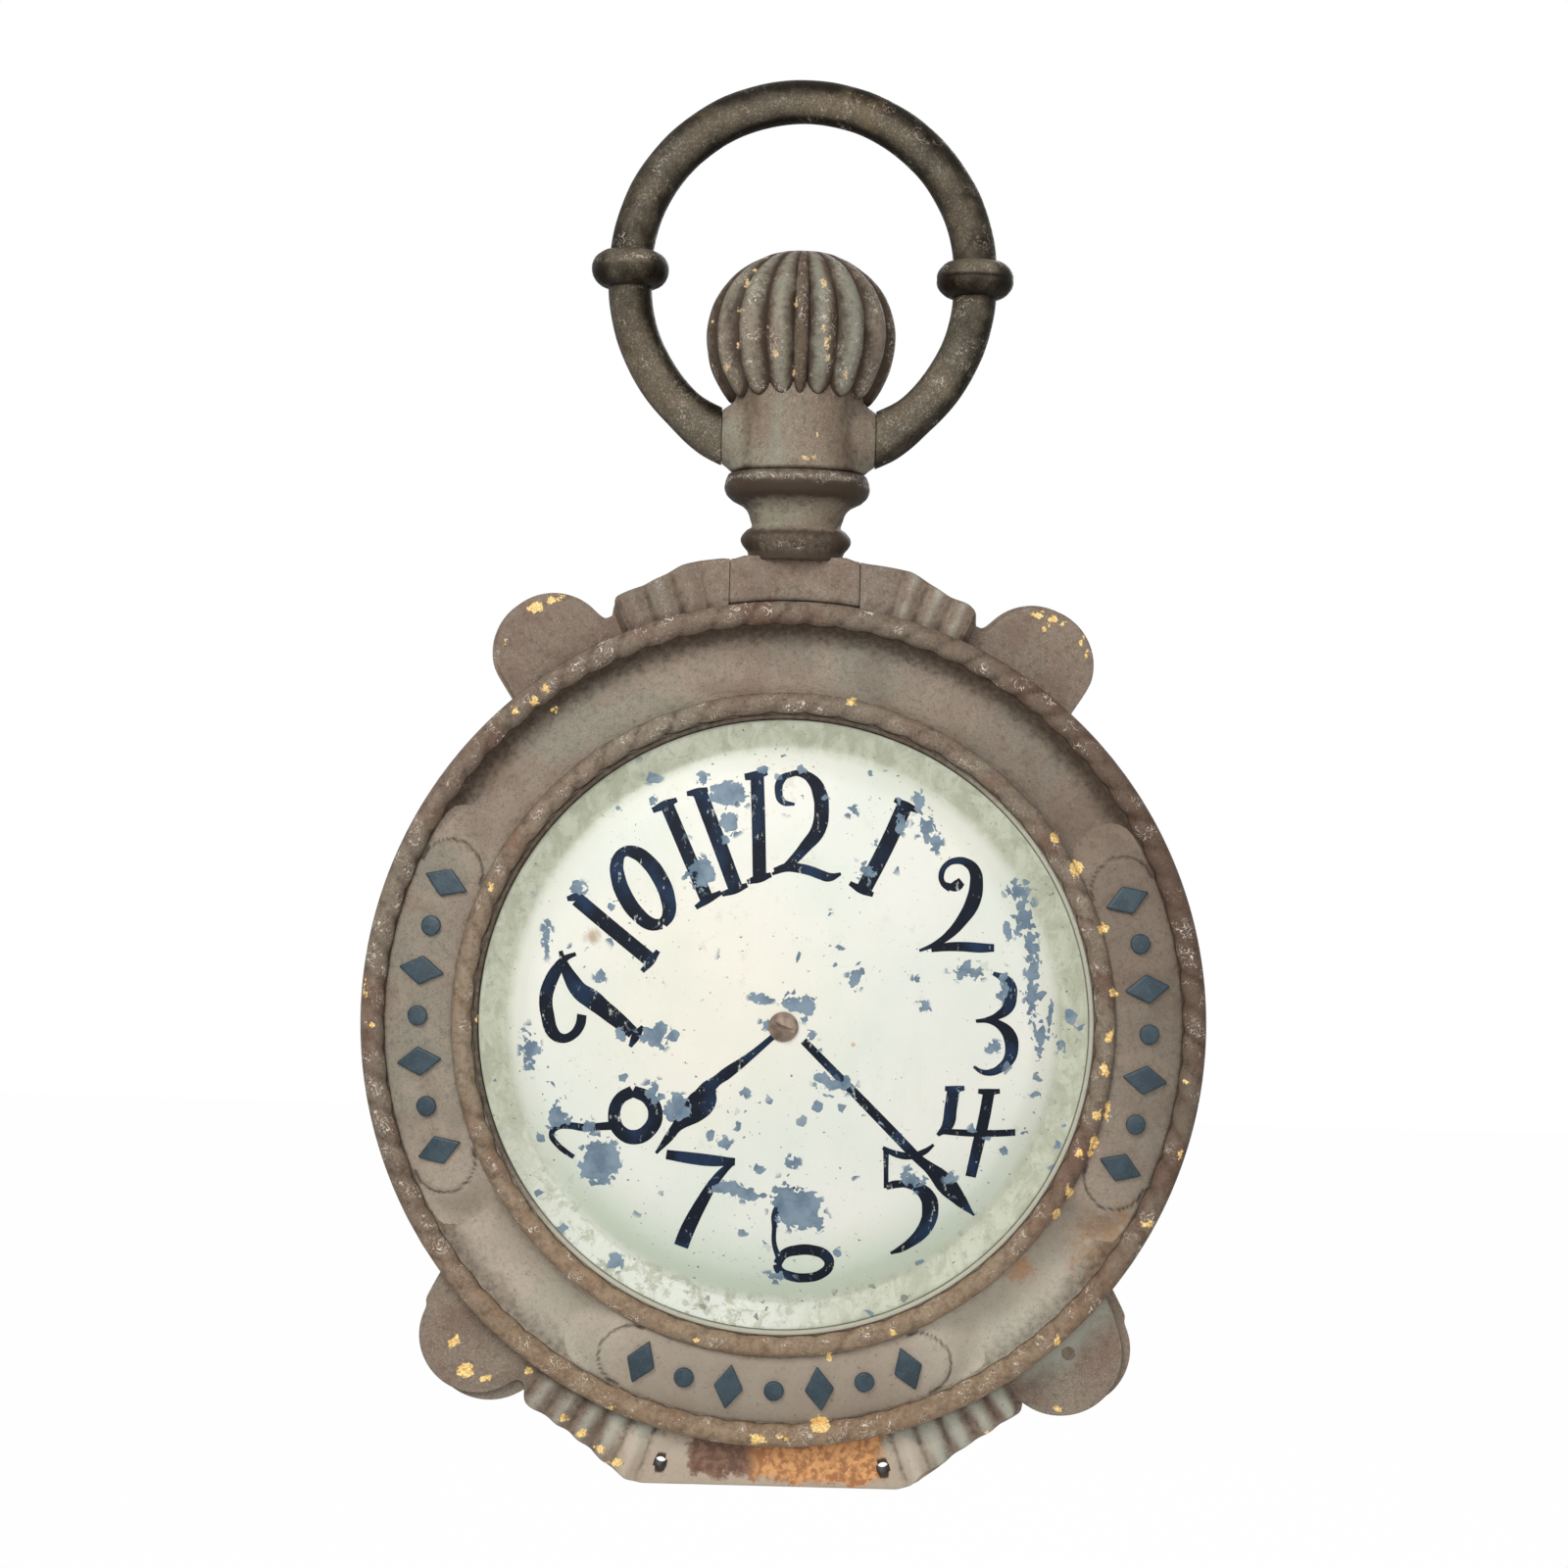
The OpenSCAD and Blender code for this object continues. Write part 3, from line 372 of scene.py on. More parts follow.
class Finish:
    def __init__(self, name, roughness=0.6, metallic=0.0, specular=0.5):
        self.material = bpy.data.materials.new(name)
        self.material.use_nodes = True
        self.tree = self.material.node_tree
        self.shader = self.tree.nodes["Principled BSDF"]
        self.shader.inputs["Roughness"].default_value = roughness
        self.shader.inputs["Metallic"].default_value = metallic
        self.shader.inputs["Specular IOR Level"].default_value = specular
        self.place = self.make("ShaderNodeTexCoord").outputs["Object"]

    def make(self, kind, inputs=(), **settings):
        return node(self.tree, kind, inputs, **settings)

    def scaled(self, size, stretch=(1, 1, 1)):
        """The place on the piece, counted in steps of a size."""
        inputs = {"Scale": [s / size for s in stretch], "Vector": self.place}
        return self.make("ShaderNodeMapping", inputs).outputs[0]

    def grain(self, size, detail=3.0, rough=0.55, stretch=(1, 1, 1), warp=0.0):
        """Noise from 0 to 1."""
        inputs = {"Scale": 1, "Detail": detail, "Roughness": rough, "Distortion": warp}
        inputs["Vector"] = self.scaled(size, stretch)
        return self.make("ShaderNodeTexNoise", inputs).outputs["Fac"]

    def cells(self, size, warp=0.5):
        """A random value from 0 to 1 for each angular cell, as paint breaks."""
        place = self.scaled(size)
        bend = self.make("ShaderNodeTexNoise", {"Scale": 0.9, "Detail": 3, "Vector": place}).outputs["Color"]
        bent = self.blend(warp, place, bend, "ADD")
        cell = self.make("ShaderNodeTexVoronoi", {"Scale": 1, "Vector": bent}).outputs["Color"]
        return self.make("ShaderNodeSeparateXYZ", {0: cell}).outputs["X"]

    def curls(self, size):
        """Thin wandering lines, where a noise passes its middle value."""
        middle = self.sum(self.swing(self.grain(size, 1.5, 0.5, warp=1.5)), 0.0, "ABSOLUTE")
        return self.step(middle, 0.02, 0.006)

    def near(self, x, z, inner, outer, share=1.0):
        """The share inside a circle seen from the front, falling to 0 outside it."""
        dx, dz = self.sum(self.axis("X"), -x), self.sum(self.axis("Z"), -z)
        span = self.sum(self.sum(self.times(dx, dx), self.times(dz, dz)), 0.5, "POWER")
        return self.step(span, outer, inner, 0.0, share)

    def attribute(self, name):
        return self.make("ShaderNodeAttribute", attribute_name=name).outputs["Fac"]

    def axis(self, letter):
        return self.make("ShaderNodeSeparateXYZ", {0: self.place}).outputs[letter]

    def step(self, value, low, high, to_low=0.0, to_high=1.0):
        """0 below low, 1 above high, and a soft step between."""
        inputs = {"Value": value, "From Min": low, "From Max": high, "To Min": to_low, "To Max": to_high}
        return self.make("ShaderNodeMapRange", inputs, interpolation_type="SMOOTHSTEP").outputs[0]

    def sum(self, a, b, way="ADD"):
        return self.make("ShaderNodeMath", {0: a, 1: b}, operation=way).outputs[0]

    def times(self, a, b):
        return self.sum(a, b, "MULTIPLY")

    def most(self, a, b):
        return self.sum(a, b, "MAXIMUM")

    def swing(self, value, reach=1.0):
        """A noise moved so that it swings to both sides of 0."""
        moved = self.sum(value, -0.5)
        return moved if reach == 1 else self.times(moved, reach)

    def blend(self, share, a, b, way="MIX"):
        a, b = (colour(c) if isinstance(c, str) else c for c in (a, b))
        return self.make("ShaderNodeMix", {0: share, 6: a, 7: b}, data_type="RGBA", blend_type=way).outputs[2]

    def lay(self, base, tone, value, low, high, share=1.0):
        """A tone over the base, as far as a value has passed from low to high."""
        return self.blend(self.step(value, low, high, 0.0, share), base, tone)

    def relief(self, height, strength=0.5, distance=0.0006):
        inputs = {"Strength": strength, "Distance": distance, "Height": height}
        self.tree.links.new(self.make("ShaderNodeBump", inputs).outputs[0], self.shader.inputs["Normal"])

    def done(self, base, roughness=None):
        self.tree.links.new(base, self.shader.inputs["Base Color"])
        if roughness is not None:
            self.tree.links.new(roughness, self.shader.inputs["Roughness"])
        print("finish", self.material.name, "has", len(self.tree.nodes), "nodes")
        return self.material


print("node helpers are ready")

# %% [markdown]
# ## Old paint on cast iron
# The case carries many coats of brown-grey paint. One noise for all of it would look like stone. So broad
# patches are greener or greyer, a fine mottle lies over them, dirt and painted shade darken the crevices and
# the shaded sides of round forms, and pale flecks and gold chips show older coats where edges are worn.


# %% Paint with dirt, flecks and chips
GOLDS = (("#de9e4a", "#ffedaa"), ("#b58c5c", "#e8d5ae"))


def iron_paint(name, tones, extra, dirt_and_shade="#41352b", flecks=0.6, red=0, dark=0.3, roughness=0.6, gloss=0.15):
    """Weathered paint. tones are the main, greener and lighter colours, and extra lays the piece's marks."""
    f = Finish(name, roughness, specular=gloss)
    mottle, fine = f.grain(0.0045, 4, 0.65), f.grain(0.0012, 3, 0.6)
    base = f.lay(tones[0], tones[1], f.grain(0.075, 3, 0.55, warp=0.4), 0.42, 0.62)
    base = f.lay(base, tones[2], f.grain(0.028, 4, 0.6), 0.45, 0.7, 0.75)
    base = f.lay(base, "#4d4137", mottle, 0.48, 0.7, dark)
    base = f.lay(base, "#b6aa9b", fine, 0.48, 0.7, 0.42)
    base = f.lay(base, "#483e33", f.grain(0.0016, 3, 0.7), 0.5, 0.68, 0.35)
    if red:
        base = f.lay(base, "#644134", f.grain(0.04, 3, 0.6), 0.5, 0.62, red)
    base = extra(f, base, mottle)
    # The stored dark value darkens the paint: dirt in the crevices, and painted shade on sides, recesses and
    # joints.
    base = f.lay(base, dirt_and_shade, f.sum(f.attribute("dirt_and_shade"), f.swing(mottle, 0.6)), 0.05, 0.95)
    pits = f.step(f.grain(0.0024, 3, 0.7), 0.62, 0.7, 0.0, 0.45)
    base = f.blend(pits, base, "#352c24")
    crest = f.attribute("crest")
    place = f.step(f.sum(f.grain(0.017, 2, 0.6), f.times(crest, 0.12)), 0.62, 0.74)
    worn = f.most(f.step(f.grain(0.0022, 3, 0.7), 0.6, 0.66), f.curls(0.007))
    worn = f.times(f.times(f.times(worn, place), f.sum(crest, 1.0, "MINIMUM")), flecks)
    base = f.blend(worn, base, "#d8ccbd")
    chip = f.step(f.sum(f.attribute("chip"), f.swing(f.grain(0.0035, 4, 0.7), 9.0)), 5.9, 6.35)
    gold, dull_gold = (f.lay(a, b, fine, 0.35, 0.65) for a, b in GOLDS)
    base = f.blend(chip, base, f.lay(gold, dull_gold, f.axis("Z"), -0.27, -0.25))
    height = 0.0
    for value, share in ((mottle, 0.8), (fine, 0.35), (chip, -0.6), (pits, -1.2), (worn, 0.8)):
        height = f.sum(f.times(value, share), height)
    f.relief(height, 0.55)
    return f.done(base, f.step(mottle, 0.3, 0.75, roughness - 0.1, roughness + 0.15))


print("gold chips in", GOLDS)

# %% [markdown]
# Sun, rain and rust have marked each casting in places of its own: the lower half is bleached, and the foot
# plate rusty. More noise would put such marks anywhere, so they are measured from a place or a height.


# %% Marks of the case and its flanges
PATCHES = ((0.15, -0.765, 0.03, 0.10, 0.16, "#d7dbc9"), (0, -0.818, 0.06, 0.13, 0.6, "#8d7f70"))
OCHRE_SPOTS = ((0.217, -0.722, 0.055, 0.55, "#97693c"), (0.1577, -0.738, 0.019, 0.6, "#b57c4c"))


def case_marks(f, base, mottle):
    """Tones of one place: the bleached lower half, a pale patch, the dark foot panel and a painted highlight on
    the lip.
    """
    level = f.sum(f.axis("Z"), f.swing(f.grain(0.02, 5, 0.65), 0.03))
    base = f.lay(base, "#d9cebb", level, -0.60, -0.76, 0.30)
    base = f.lay(base, "#5a4a3e", level, -0.60, -0.42, 0.22)
    for *circle, tone in PATCHES:
        base = f.blend(f.near(*circle), base, tone)
    base = f.blend(f.times(f.attribute("ruddy"), 0.6), base, "#5e4e42")
    # Painted highlight on the lower right of the lip.
    base = f.blend(f.times(f.attribute("rim"), 0.85), base, "#b7b6a5")
    return place_marks(f, base, mottle)


def place_marks(f, base, mottle):
    """The rust and wear of the foot plate, and the ochre spots below the right-hand panel."""
    x, z = f.axis("X"), f.axis("Z")
    fray = f.sum(f.swing(f.grain(0.02, 5, 0.65), 0.03), f.swing(mottle, 0.014))
    level, across = f.sum(z, fray), f.sum(x, fray)
    plate = f.times(f.step(level, -0.848, -0.853), f.step(f.sum(x, 0.0, "ABSOLUTE"), 0.112, 0.095, 0.0, 0.6))
    base = f.blend(plate, base, "#cab9a4")
    band = f.times(f.step(level, -0.880, -0.876), f.step(level, -0.846, -0.849))
    wide = f.times(f.step(across, -0.056, -0.051), f.step(across, 0.075, 0.070, 0.0, 0.9))
    spotty = f.sum(mottle, f.times(fray, 4.0))
    brown, ochre = f.lay("#5f4033", "#85614d", spotty, 0.42, 0.6), f.lay("#dfa267", "#a66d42", spotty, 0.4, 0.6)
    base = f.blend(f.times(band, wide), base, f.lay(brown, ochre, across, -0.022, -0.006))
    uneven = f.sum(f.swing(f.grain(0.007, 5, 0.75), 2.2), f.times(fray, 12.0))
    for x, z, outer, share, tone in OCHRE_SPOTS:
        base = f.lay(base, tone, f.sum(f.near(x, z, 0.15 * outer, outer), uneven), 0.4, 1.1, share)
    return base


def flange_marks(f, base, mottle):
    """Pale stripes on the crests of the flutes, brown between them, and the marks of the foot plate."""
    streak = f.swing(f.grain(0.016, 4, 0.6))
    base = f.lay(base, "#5a4a3e", f.axis("Z"), -0.55, -0.40, 0.15)
    base = f.lay(base, "#b3b4a5", f.sum(f.attribute("pale"), streak), 0.2, 1.0, 0.7)
    base = f.lay(base, "#644e41", f.sum(f.attribute("ruddy"), streak), 0.3, 0.9, 0.6)
    return place_marks(f, base, mottle)


print(len(PATCHES), "patches and", len(OCHRE_SPOTS), "ochre spots")

# %% [markdown]
# The crown, the bow and the ropes are marked along their own forms. Heights would cut across those, so the
# marks read the values that are stored with the shape.


# %% Marks of the crown, the bow and the ropes
def stripe_marks(f, base, mottle):
    """Pale blue-green and dark red-brown stripes that run down the crown's lobes and the barrel. The pale
    stripes on the barrel and the neck are painted highlights.
    """
    streak = f.swing(f.grain(0.012, 4, 0.6, stretch=(1, 1, 0.5)))
    base = f.lay(base, "#919588", f.sum(f.attribute("pale"), streak), 0.1, 1.0, 0.5)
    base = f.lay(base, "#544033", f.sum(f.attribute("ruddy"), f.times(streak, 1.4)), 0.0, 1.0, 0.8)
    where = f.times(f.attribute("gilt"), f.step(f.grain(0.012, 2, 0.6), 0.4, 0.55, 0.0, 0.85))
    spots = f.times(f.step(f.grain(0.0038, 4, 0.75, warp=0.8), 0.56, 0.61), where)
    return f.blend(spots, base, f.lay("#e5dac5", "#d49e5b", mottle, 0.55, 0.7))


def bow_wear_and_light(f, base, mottle):
    """The bow is near black in its painted shade and where it is little worn, and paler where it is worn and
    where a highlight is painted on it.
    """
    uneven = f.sum(f.swing(f.grain(0.014, 4, 0.65), 0.9), f.swing(mottle, 0.5))
    base = f.lay("#18120a", base, f.sum(f.attribute("pale"), uneven), 0.05, 1.05)
    tan = f.times(f.step(f.grain(0.03, 4, 0.6), 0.52, 0.66), f.step(f.axis("Z"), -0.06, -0.01, 0.0, 0.3))
    return f.blend(tan, base, "#675338")


def rope_marks(f, base, mottle):
    """The ropes are bleached at the bottom and dark red-brown at the right."""
    base = f.blend(f.attribute("pale"), base, f.lay("#ab9274", "#957c62", mottle, 0.4, 0.6))
    return f.blend(f.attribute("ruddy"), base, "#564136")


print("marks:", [marks.__name__ for marks in (stripe_marks, bow_wear_and_light, rope_marks)])

# %% Paints of the five castings
case_paint = iron_paint("worn_case_paint", ("#998b7c", "#938f80", "#a99a89"), case_marks, red=0.22)
flange_paint = iron_paint(
    "worn_flange_paint", ("#837365", "#80786a", "#918271"), flange_marks, red=0.25, dark=0.4)
rope_paint = iron_paint(
    "worn_rope_paint", ("#7b6b5c", "#807666", "#908271"), rope_marks, "#34261c", 1.2, red=0.5, dark=0.45)
crown_paint = iron_paint(
    "worn_crown_paint", ("#827363", "#888573", "#938776"), stripe_marks, flecks=0.8, dark=0.45)
bow_paint = iron_paint(
    "worn_bow_paint", ("#645a4a", "#595548", "#6f6553"), bow_wear_and_light, "#15100a", 0.5, dark=0.5,
    roughness=0.5, gloss=0.08)

# %% [markdown]
# ## Bare iron and the dial screw
# What never was painted, or lost its paint, is brown with a thin skin of rust. Full metal would mirror the
# lamps, and plain paint would look too dry, so the metal shows by a third only.


# %% Bare iron
def rusty(name, dark, light):
    f = Finish(name, metallic=0.35)
    patch, fine = f.grain(0.012, 4, 0.6), f.grain(0.0015, 4, 0.65)
    base = f.lay(f.lay(dark, light, patch, 0.35, 0.65), "#342824", fine, 0.55, 0.75, 0.5)
    f.relief(f.sum(fine, patch))
    return f.done(base, f.step(fine, 0.3, 0.7, 0.45, 0.75))


iron = rusty("rusty_iron", "#534139", "#7b5b49")
screw_iron = rusty("screw_iron", "#6c5a4e", "#a08c7c")

# %% [markdown]
# ## Dial paint
# Cream paint, brushed on, with a greener rim. Where it has flaked, slate-blue ground shows. A noise gives
# round blots, so the flakes' edges follow angular cells, as old paint breaks. The numerals are painted on
# top, and flake with it.


# %% Flaked paint
DIAL = DIAL_Z / 1000


def flaked(f, under):
    """Where the paint is gone: the placed flakes with frayed edges, and the specks."""
    flake = f.attribute("flake")
    fray = f.sum(f.swing(f.grain(0.012, 3, 0.6), 15.0), f.swing(f.grain(0.0032, 4, 0.75, warp=0.8), 4.0))
    fray = f.sum(fray, f.swing(f.cells(0.0042), 5.0))
    crumbs = f.times(f.step(f.cells(0.0036), 0.86, 0.87), f.step(flake, 0.8, 4.5))
    stray = f.times(f.step(f.cells(0.0052, 0.8), 0.972, 0.976), f.step(f.grain(0.05, 2, 0.5), 0.45, 0.5))
    gone = f.most(f.most(f.step(f.sum(flake, fray), 6.2, 6.4), crumbs), stray)
    return gone, f.blend(gone, under, f.lay("#607383", "#7b8d9a", f.grain(0.012, 4, 0.6), 0.35, 0.65))


print("flakes are measured from", DIAL, "m")

# %% [markdown]
# The dial's cream is warmest at its middle and greenest low at its edge, and the rim has tones of its own.
# A single gradient would be too regular, so broad noises, circles and brushed streaks are laid over it.


# %% Dial paint
STAINS = ((-0.124, 0.053, 0.0, 0.012, "#9e8159"), (0.0447, -0.0104, 0.0011, 0.0021, "#cb8444"))


def rim_tones(f, brush):
    """The rim is greyer than the dome, scuffed at the lower left and pocked at the bottom."""
    tone = f.lay("#a5a791", "#bdc0ac", brush, 0.35, 0.65)
    tone = f.lay(tone, "#8b8d76", f.grain(0.004, 4, 0.7), 0.55, 0.68, 0.5)
    scuffed = f.step(f.grain(0.011, 5, 0.75, warp=0.5), 0.42, 0.52)
    tone = f.blend(f.times(f.near(-0.08, DIAL - 0.17, 0.05, 0.16, 0.7), scuffed), tone, "#dfe2d8")
    pocks = f.step(f.cells(0.0035, 0.9), 0.95, 0.955)
    return f.blend(f.times(f.near(0.04, DIAL - 0.185, 0.06, 0.13, 0.8), pocks), tone, "#565850")


def dial_finish():
    f = Finish("worn_dial_paint", 0.45, specular=0.35)
    broad, streak = f.grain(0.09, 4, 0.55), f.grain(0.02, 5, 0.65, stretch=(1, 1, 0.18))
    base = f.lay("#e4e2d8", "#d9ddd1", broad, 0.35, 0.7)
    base = f.lay(base, "#d3dacb", streak, 0.5, 0.75, 0.4)
    base = f.blend(f.near(-0.05, DIAL + 0.02, 0.02, 0.12, 0.35), base, "#ece2cc")
    base = f.lay(base, "#dedfc5", f.grain(0.035, 4, 0.6), 0.56, 0.72, 0.35)
    low = f.step(f.sum(f.axis("Z"), f.swing(broad, 0.12)), DIAL - 0.02, DIAL - 0.15)
    base = f.blend(f.times(f.near(0, DIAL, 0.168, 0.125, 0.8), low), base, "#bac6b3")
    # Painted shade at the dome's shoulder, all round.
    base = f.blend(f.near(0, DIAL, 0.176, 0.154, 0.3), base, "#b4b9a2")
    stain = f.step(f.grain(0.018, 5, 0.7), 0.56, 0.68)
    base = f.blend(f.times(stain, f.step(f.grain(0.06, 2, 0.5), 0.45, 0.6, 0.0, 0.4)), base, "#bbbb9b")
    brush = f.grain(0.014, 5, 0.7, stretch=(1.2, 1, 0.8), warp=0.6)
    base = f.blend(f.attribute("rim"), base, rim_tones(f, brush))
    gone, base = flaked(f, base)
    scratch = f.step(f.grain(0.03, 3, 0.7, stretch=(0.6, 1, 12), warp=1.2), 0.70, 0.74)
    base = f.blend(f.times(scratch, f.step(f.grain(0.05, 2), 0.5, 0.6, 0.0, 0.5)), base, "#9ea59b")
    for x, y, inner, outer, tone in STAINS:
        spot = f.sum(f.near(x, DIAL + y, inner, outer), f.swing(brush, 1.8))
        base = f.lay(base, tone, spot, 0.3, 0.9, 0.75)
    specks = f.times(f.step(f.grain(0.0035, 2, 0.6), 0.70, 0.73), f.step(f.grain(0.05, 2, 0.5), 0.38, 0.5))
    tiny = f.times(f.step(f.grain(0.0018, 2, 0.6), 0.70, 0.74), f.step(f.grain(0.03, 2, 0.5), 0.45, 0.6))
    base = f.blend(f.times(f.most(specks, tiny), 0.9), base, "#53534a")
    # The stored dark value lays painted shade on the sheet's edge and in the groove.
    base = f.lay(base, "#9a9e8c", f.attribute("dirt_and_shade"), 0.2, 0.9)
    f.relief(f.sum(f.times(gone, -1.0), f.sum(f.times(streak, 0.5), f.times(f.grain(0.004, 4), 0.4))), 0.4)
    return f.done(base, f.step(gone, 0, 1, 0.42, 0.6))


dial_paint = dial_finish()


# %% Numeral and mark paint
def numeral_finish():
    f = Finish("worn_numeral_paint", specular=0.12)
    base = f.lay("#131822", "#21324a", f.grain(0.03, 3), 0.45, 0.7)
    base = f.lay(base, "#c7cbc5", f.grain(0.005, 5, 0.8, stretch=(1, 1, 0.5)), 0.6, 0.66, 0.8)
    base = flaked(f, base)[1]
    f.relief(f.grain(0.003, 4), 0.3, 0.0004)
    return f.done(base)


def mark_finish():
    """The near-black paint of the raised marks, darker round their feet."""
    f = Finish("worn_mark_paint", 0.5)
    base = f.lay("#22333d", "#31424b", f.grain(0.01, 4), 0.4, 0.65)
    base = f.lay(base, "#5f6b6a", f.grain(0.0015, 4, 0.7), 0.55, 0.7, 0.4)
    base = f.lay(base, "#232623", f.attribute("dirt_and_shade"), 0.4, 1.0)
    f.relief(f.grain(0.0016, 4))
    return f.done(base)


numeral_paint, mark_paint = numeral_finish(), mark_finish()

# %% [markdown]
# ## Finishing a piece
# Every casting is fettled, painted and hung on the part that carries it. A piece's finish, body and CAD
# nodes could be set one by one after all the shapes are made, but a call that does it at once forgets
# none. The rear face of the sign is cast from the same pattern as the front one, so it is a turned copy.


# %% Finishing a piece
def finished(name, bm, finish, slot, nodes, body="case", layer="chip", sharp=35, turn=False):
    """Turns a bmesh in millimetres into a piece in metres that rides on a body and stands for CAD nodes."""
    bm.transform(Matrix.Scale(0.001, 4))
    mesh = mesh_from(name, bm)
    store_spots(mesh, layer)
    if turn:
        mesh.transform(Matrix.Rotation(math.pi, 4, "Z"))
    mesh.shade_smooth()
    mesh.set_sharp_from_angle(angle=math.radians(sharp))
    mesh.materials.append(finish)
    piece = placed(name, mesh)
    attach(piece, body)
    if nodes:
        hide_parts(*nodes)
    print(name, "has", sum(len(p.vertices) - 2 for p in mesh.polygons), "triangles")


def front_and_rear(name, bm, finish, slot, nodes=(), **more):
    """Stands a shape of the watch's face upright, and makes the rear one as a copy turned right round."""
    bm.transform(STAND)
    outward(bm)
    for word, shape, node_name in zip(("front", "rear"), (bm, bm.copy()), nodes or (None, None)):
        stands_for = [node_name] if node_name else []
        finished(f"{name}_{word}", shape, finish, slot, stands_for, turn=word == "rear", **more)


print("pieces can be finished")

# %% [markdown]
# ## Bow
# The bow is a forged round bar: an arch and two arms, joined under collars. A curve with a round bevel
# would bend as well, but a circle spun round the bow's centre leaves even rings, and each ring of an arm
# can then be scaled, so that it swells towards the pendant.


# %% Bow arch and arms
BOW_R, BAR_R = 112.0, 14.0
ARCH_Z, JOINT_Z, ARM_Z = -98.0, -101.25, -104.5
ARM_END, ARM_CUT_X, KNUCKLE = -63.5, 50, 0.21


def rubbed_and_lit(angle, out):
    """How pale the bow's paint is: worn paint with painted light, lighter along the arch's inner half at the
    top and on the arms' left sides, darker on the arms' right sides and least beside the collars.
    """
    angle = angle + 360 if angle < -90 else angle
    if angle < 0 or angle > 180:
        past = -angle if angle < 0 else angle - 180
        worn = 0.55 + 0.4 * smooth_step(past, 5, 40)
        return worn * (1 - 0.65 * smooth_step(out if angle < 0 else -out, 3, 11))
    to_left = smooth_step(angle, 110, 150)
    wide = 9 + 5 * to_left + 9 * smooth_step(angle, 45, 15)
    return (0.45 + 0.5 * math.sin(math.radians(angle))) * hump(out, 4 * to_left - 4, wide)


def on_bar(co):
    """A point's angle round the bow's centre, the bar's middle there, and how far outside it the point lies."""
    angle = math.atan2(co.z, co.x)
    middle = Vector((math.cos(angle), 0, math.sin(angle))) * BOW_R
    return math.degrees(angle), middle, (co - middle).dot(middle.normalized())


def bow_bar(start, end, centre_z, swell):
    """A round bar bent round the bow's centre, from one angle to another."""
    bm = bmesh.new()
    circle = bmesh.ops.create_circle(bm, segments=32, radius=BAR_R)["verts"]
    turn = Matrix.Rotation(math.radians(-start), 4, "Y")
    bmesh.ops.transform(bm, matrix=turn @ Matrix.Translation((BOW_R, 0, 0)), verts=circle)
    steps, bend = max(8, round((end - start) * 0.8)), math.radians(end - start)
    bmesh.ops.spin(bm, geom=circle + bm.edges[:], axis=(0, -1, 0), angle=bend, steps=steps)
    pale, darkened, crest = layers(bm, "pale", "dirt_and_shade", "crest")
    for v in bm.verts:
        angle, middle, out = on_bar(v.co)
        v[pale] = rubbed_and_lit(angle, out)
        # Painted shade along the bar's inner side, strongest at the top of the arch, and along its outer side.
        v[darkened] = (0.6 + 0.6 * hump(angle, 95, 32)) * smooth_step(-out, 9, 14)
        v[darkened] += 0.5 * smooth_step(out, 11, 14)
        v[crest] = 0.8
        v.co = middle + (v.co - middle) * swell(angle)
        v.co += v.co.normalized() * 0.35 * lumps(v.co, 22)
    bm.transform(Matrix.Translation((0, 0, centre_z)))
    bmesh.ops.holes_fill(bm, edges=bm.edges)
    return outward(bm)


def knuckle(angle):
    """The arm's thickness as a share of the bar's, at an angle below the bow's centre."""
    along = math.radians(angle - ARM_END) * BOW_R
    return 1 + KNUCKLE * (1 - smooth_step(along, 2, 34))


dip = math.degrees(math.asin((ARCH_Z - JOINT_Z) / BOW_R))
arch = bow_bar(-dip, 180 + dip, ARCH_Z, lambda angle: 1)
finished("bow_arch_bar", arch, bow_paint, "bow_paint", ["bow_arch"], body="bow")
arm = bow_bar(ARM_END - 12, dip, ARM_Z, knuckle)
everything = arm.verts[:] + arm.edges[:] + arm.faces[:]
bmesh.ops.bisect_plane(arm, geom=everything, plane_co=(ARM_CUT_X, 0, 0), plane_no=(-1, 0, 0), clear_outer=True)
bmesh.ops.holes_fill(arm, edges=arm.edges)
left_arm = arm.copy()
left_arm.transform(Matrix.Scale(-1, 4, (1, 0, 0)))
pale = left_arm.verts.layers.float["pale"]
for v in left_arm.verts:
    angle, _, out = on_bar(v.co - Vector((0, 0, ARM_Z)))
    v[pale] = rubbed_and_lit(angle, out)
outward(left_arm)
for word, shape in (("right", arm), ("left", left_arm)):
    finished(f"{word}_arm_bar", shape, bow_paint, "bow_paint", [f"bow_arm_{word}"], body="bow")

# %% [markdown]
# The collars are turned rings with a full round belly. A squashed ball would lack their short necks, so an
# outline is spun. A faint line runs round the belly, and dirt sits in it.


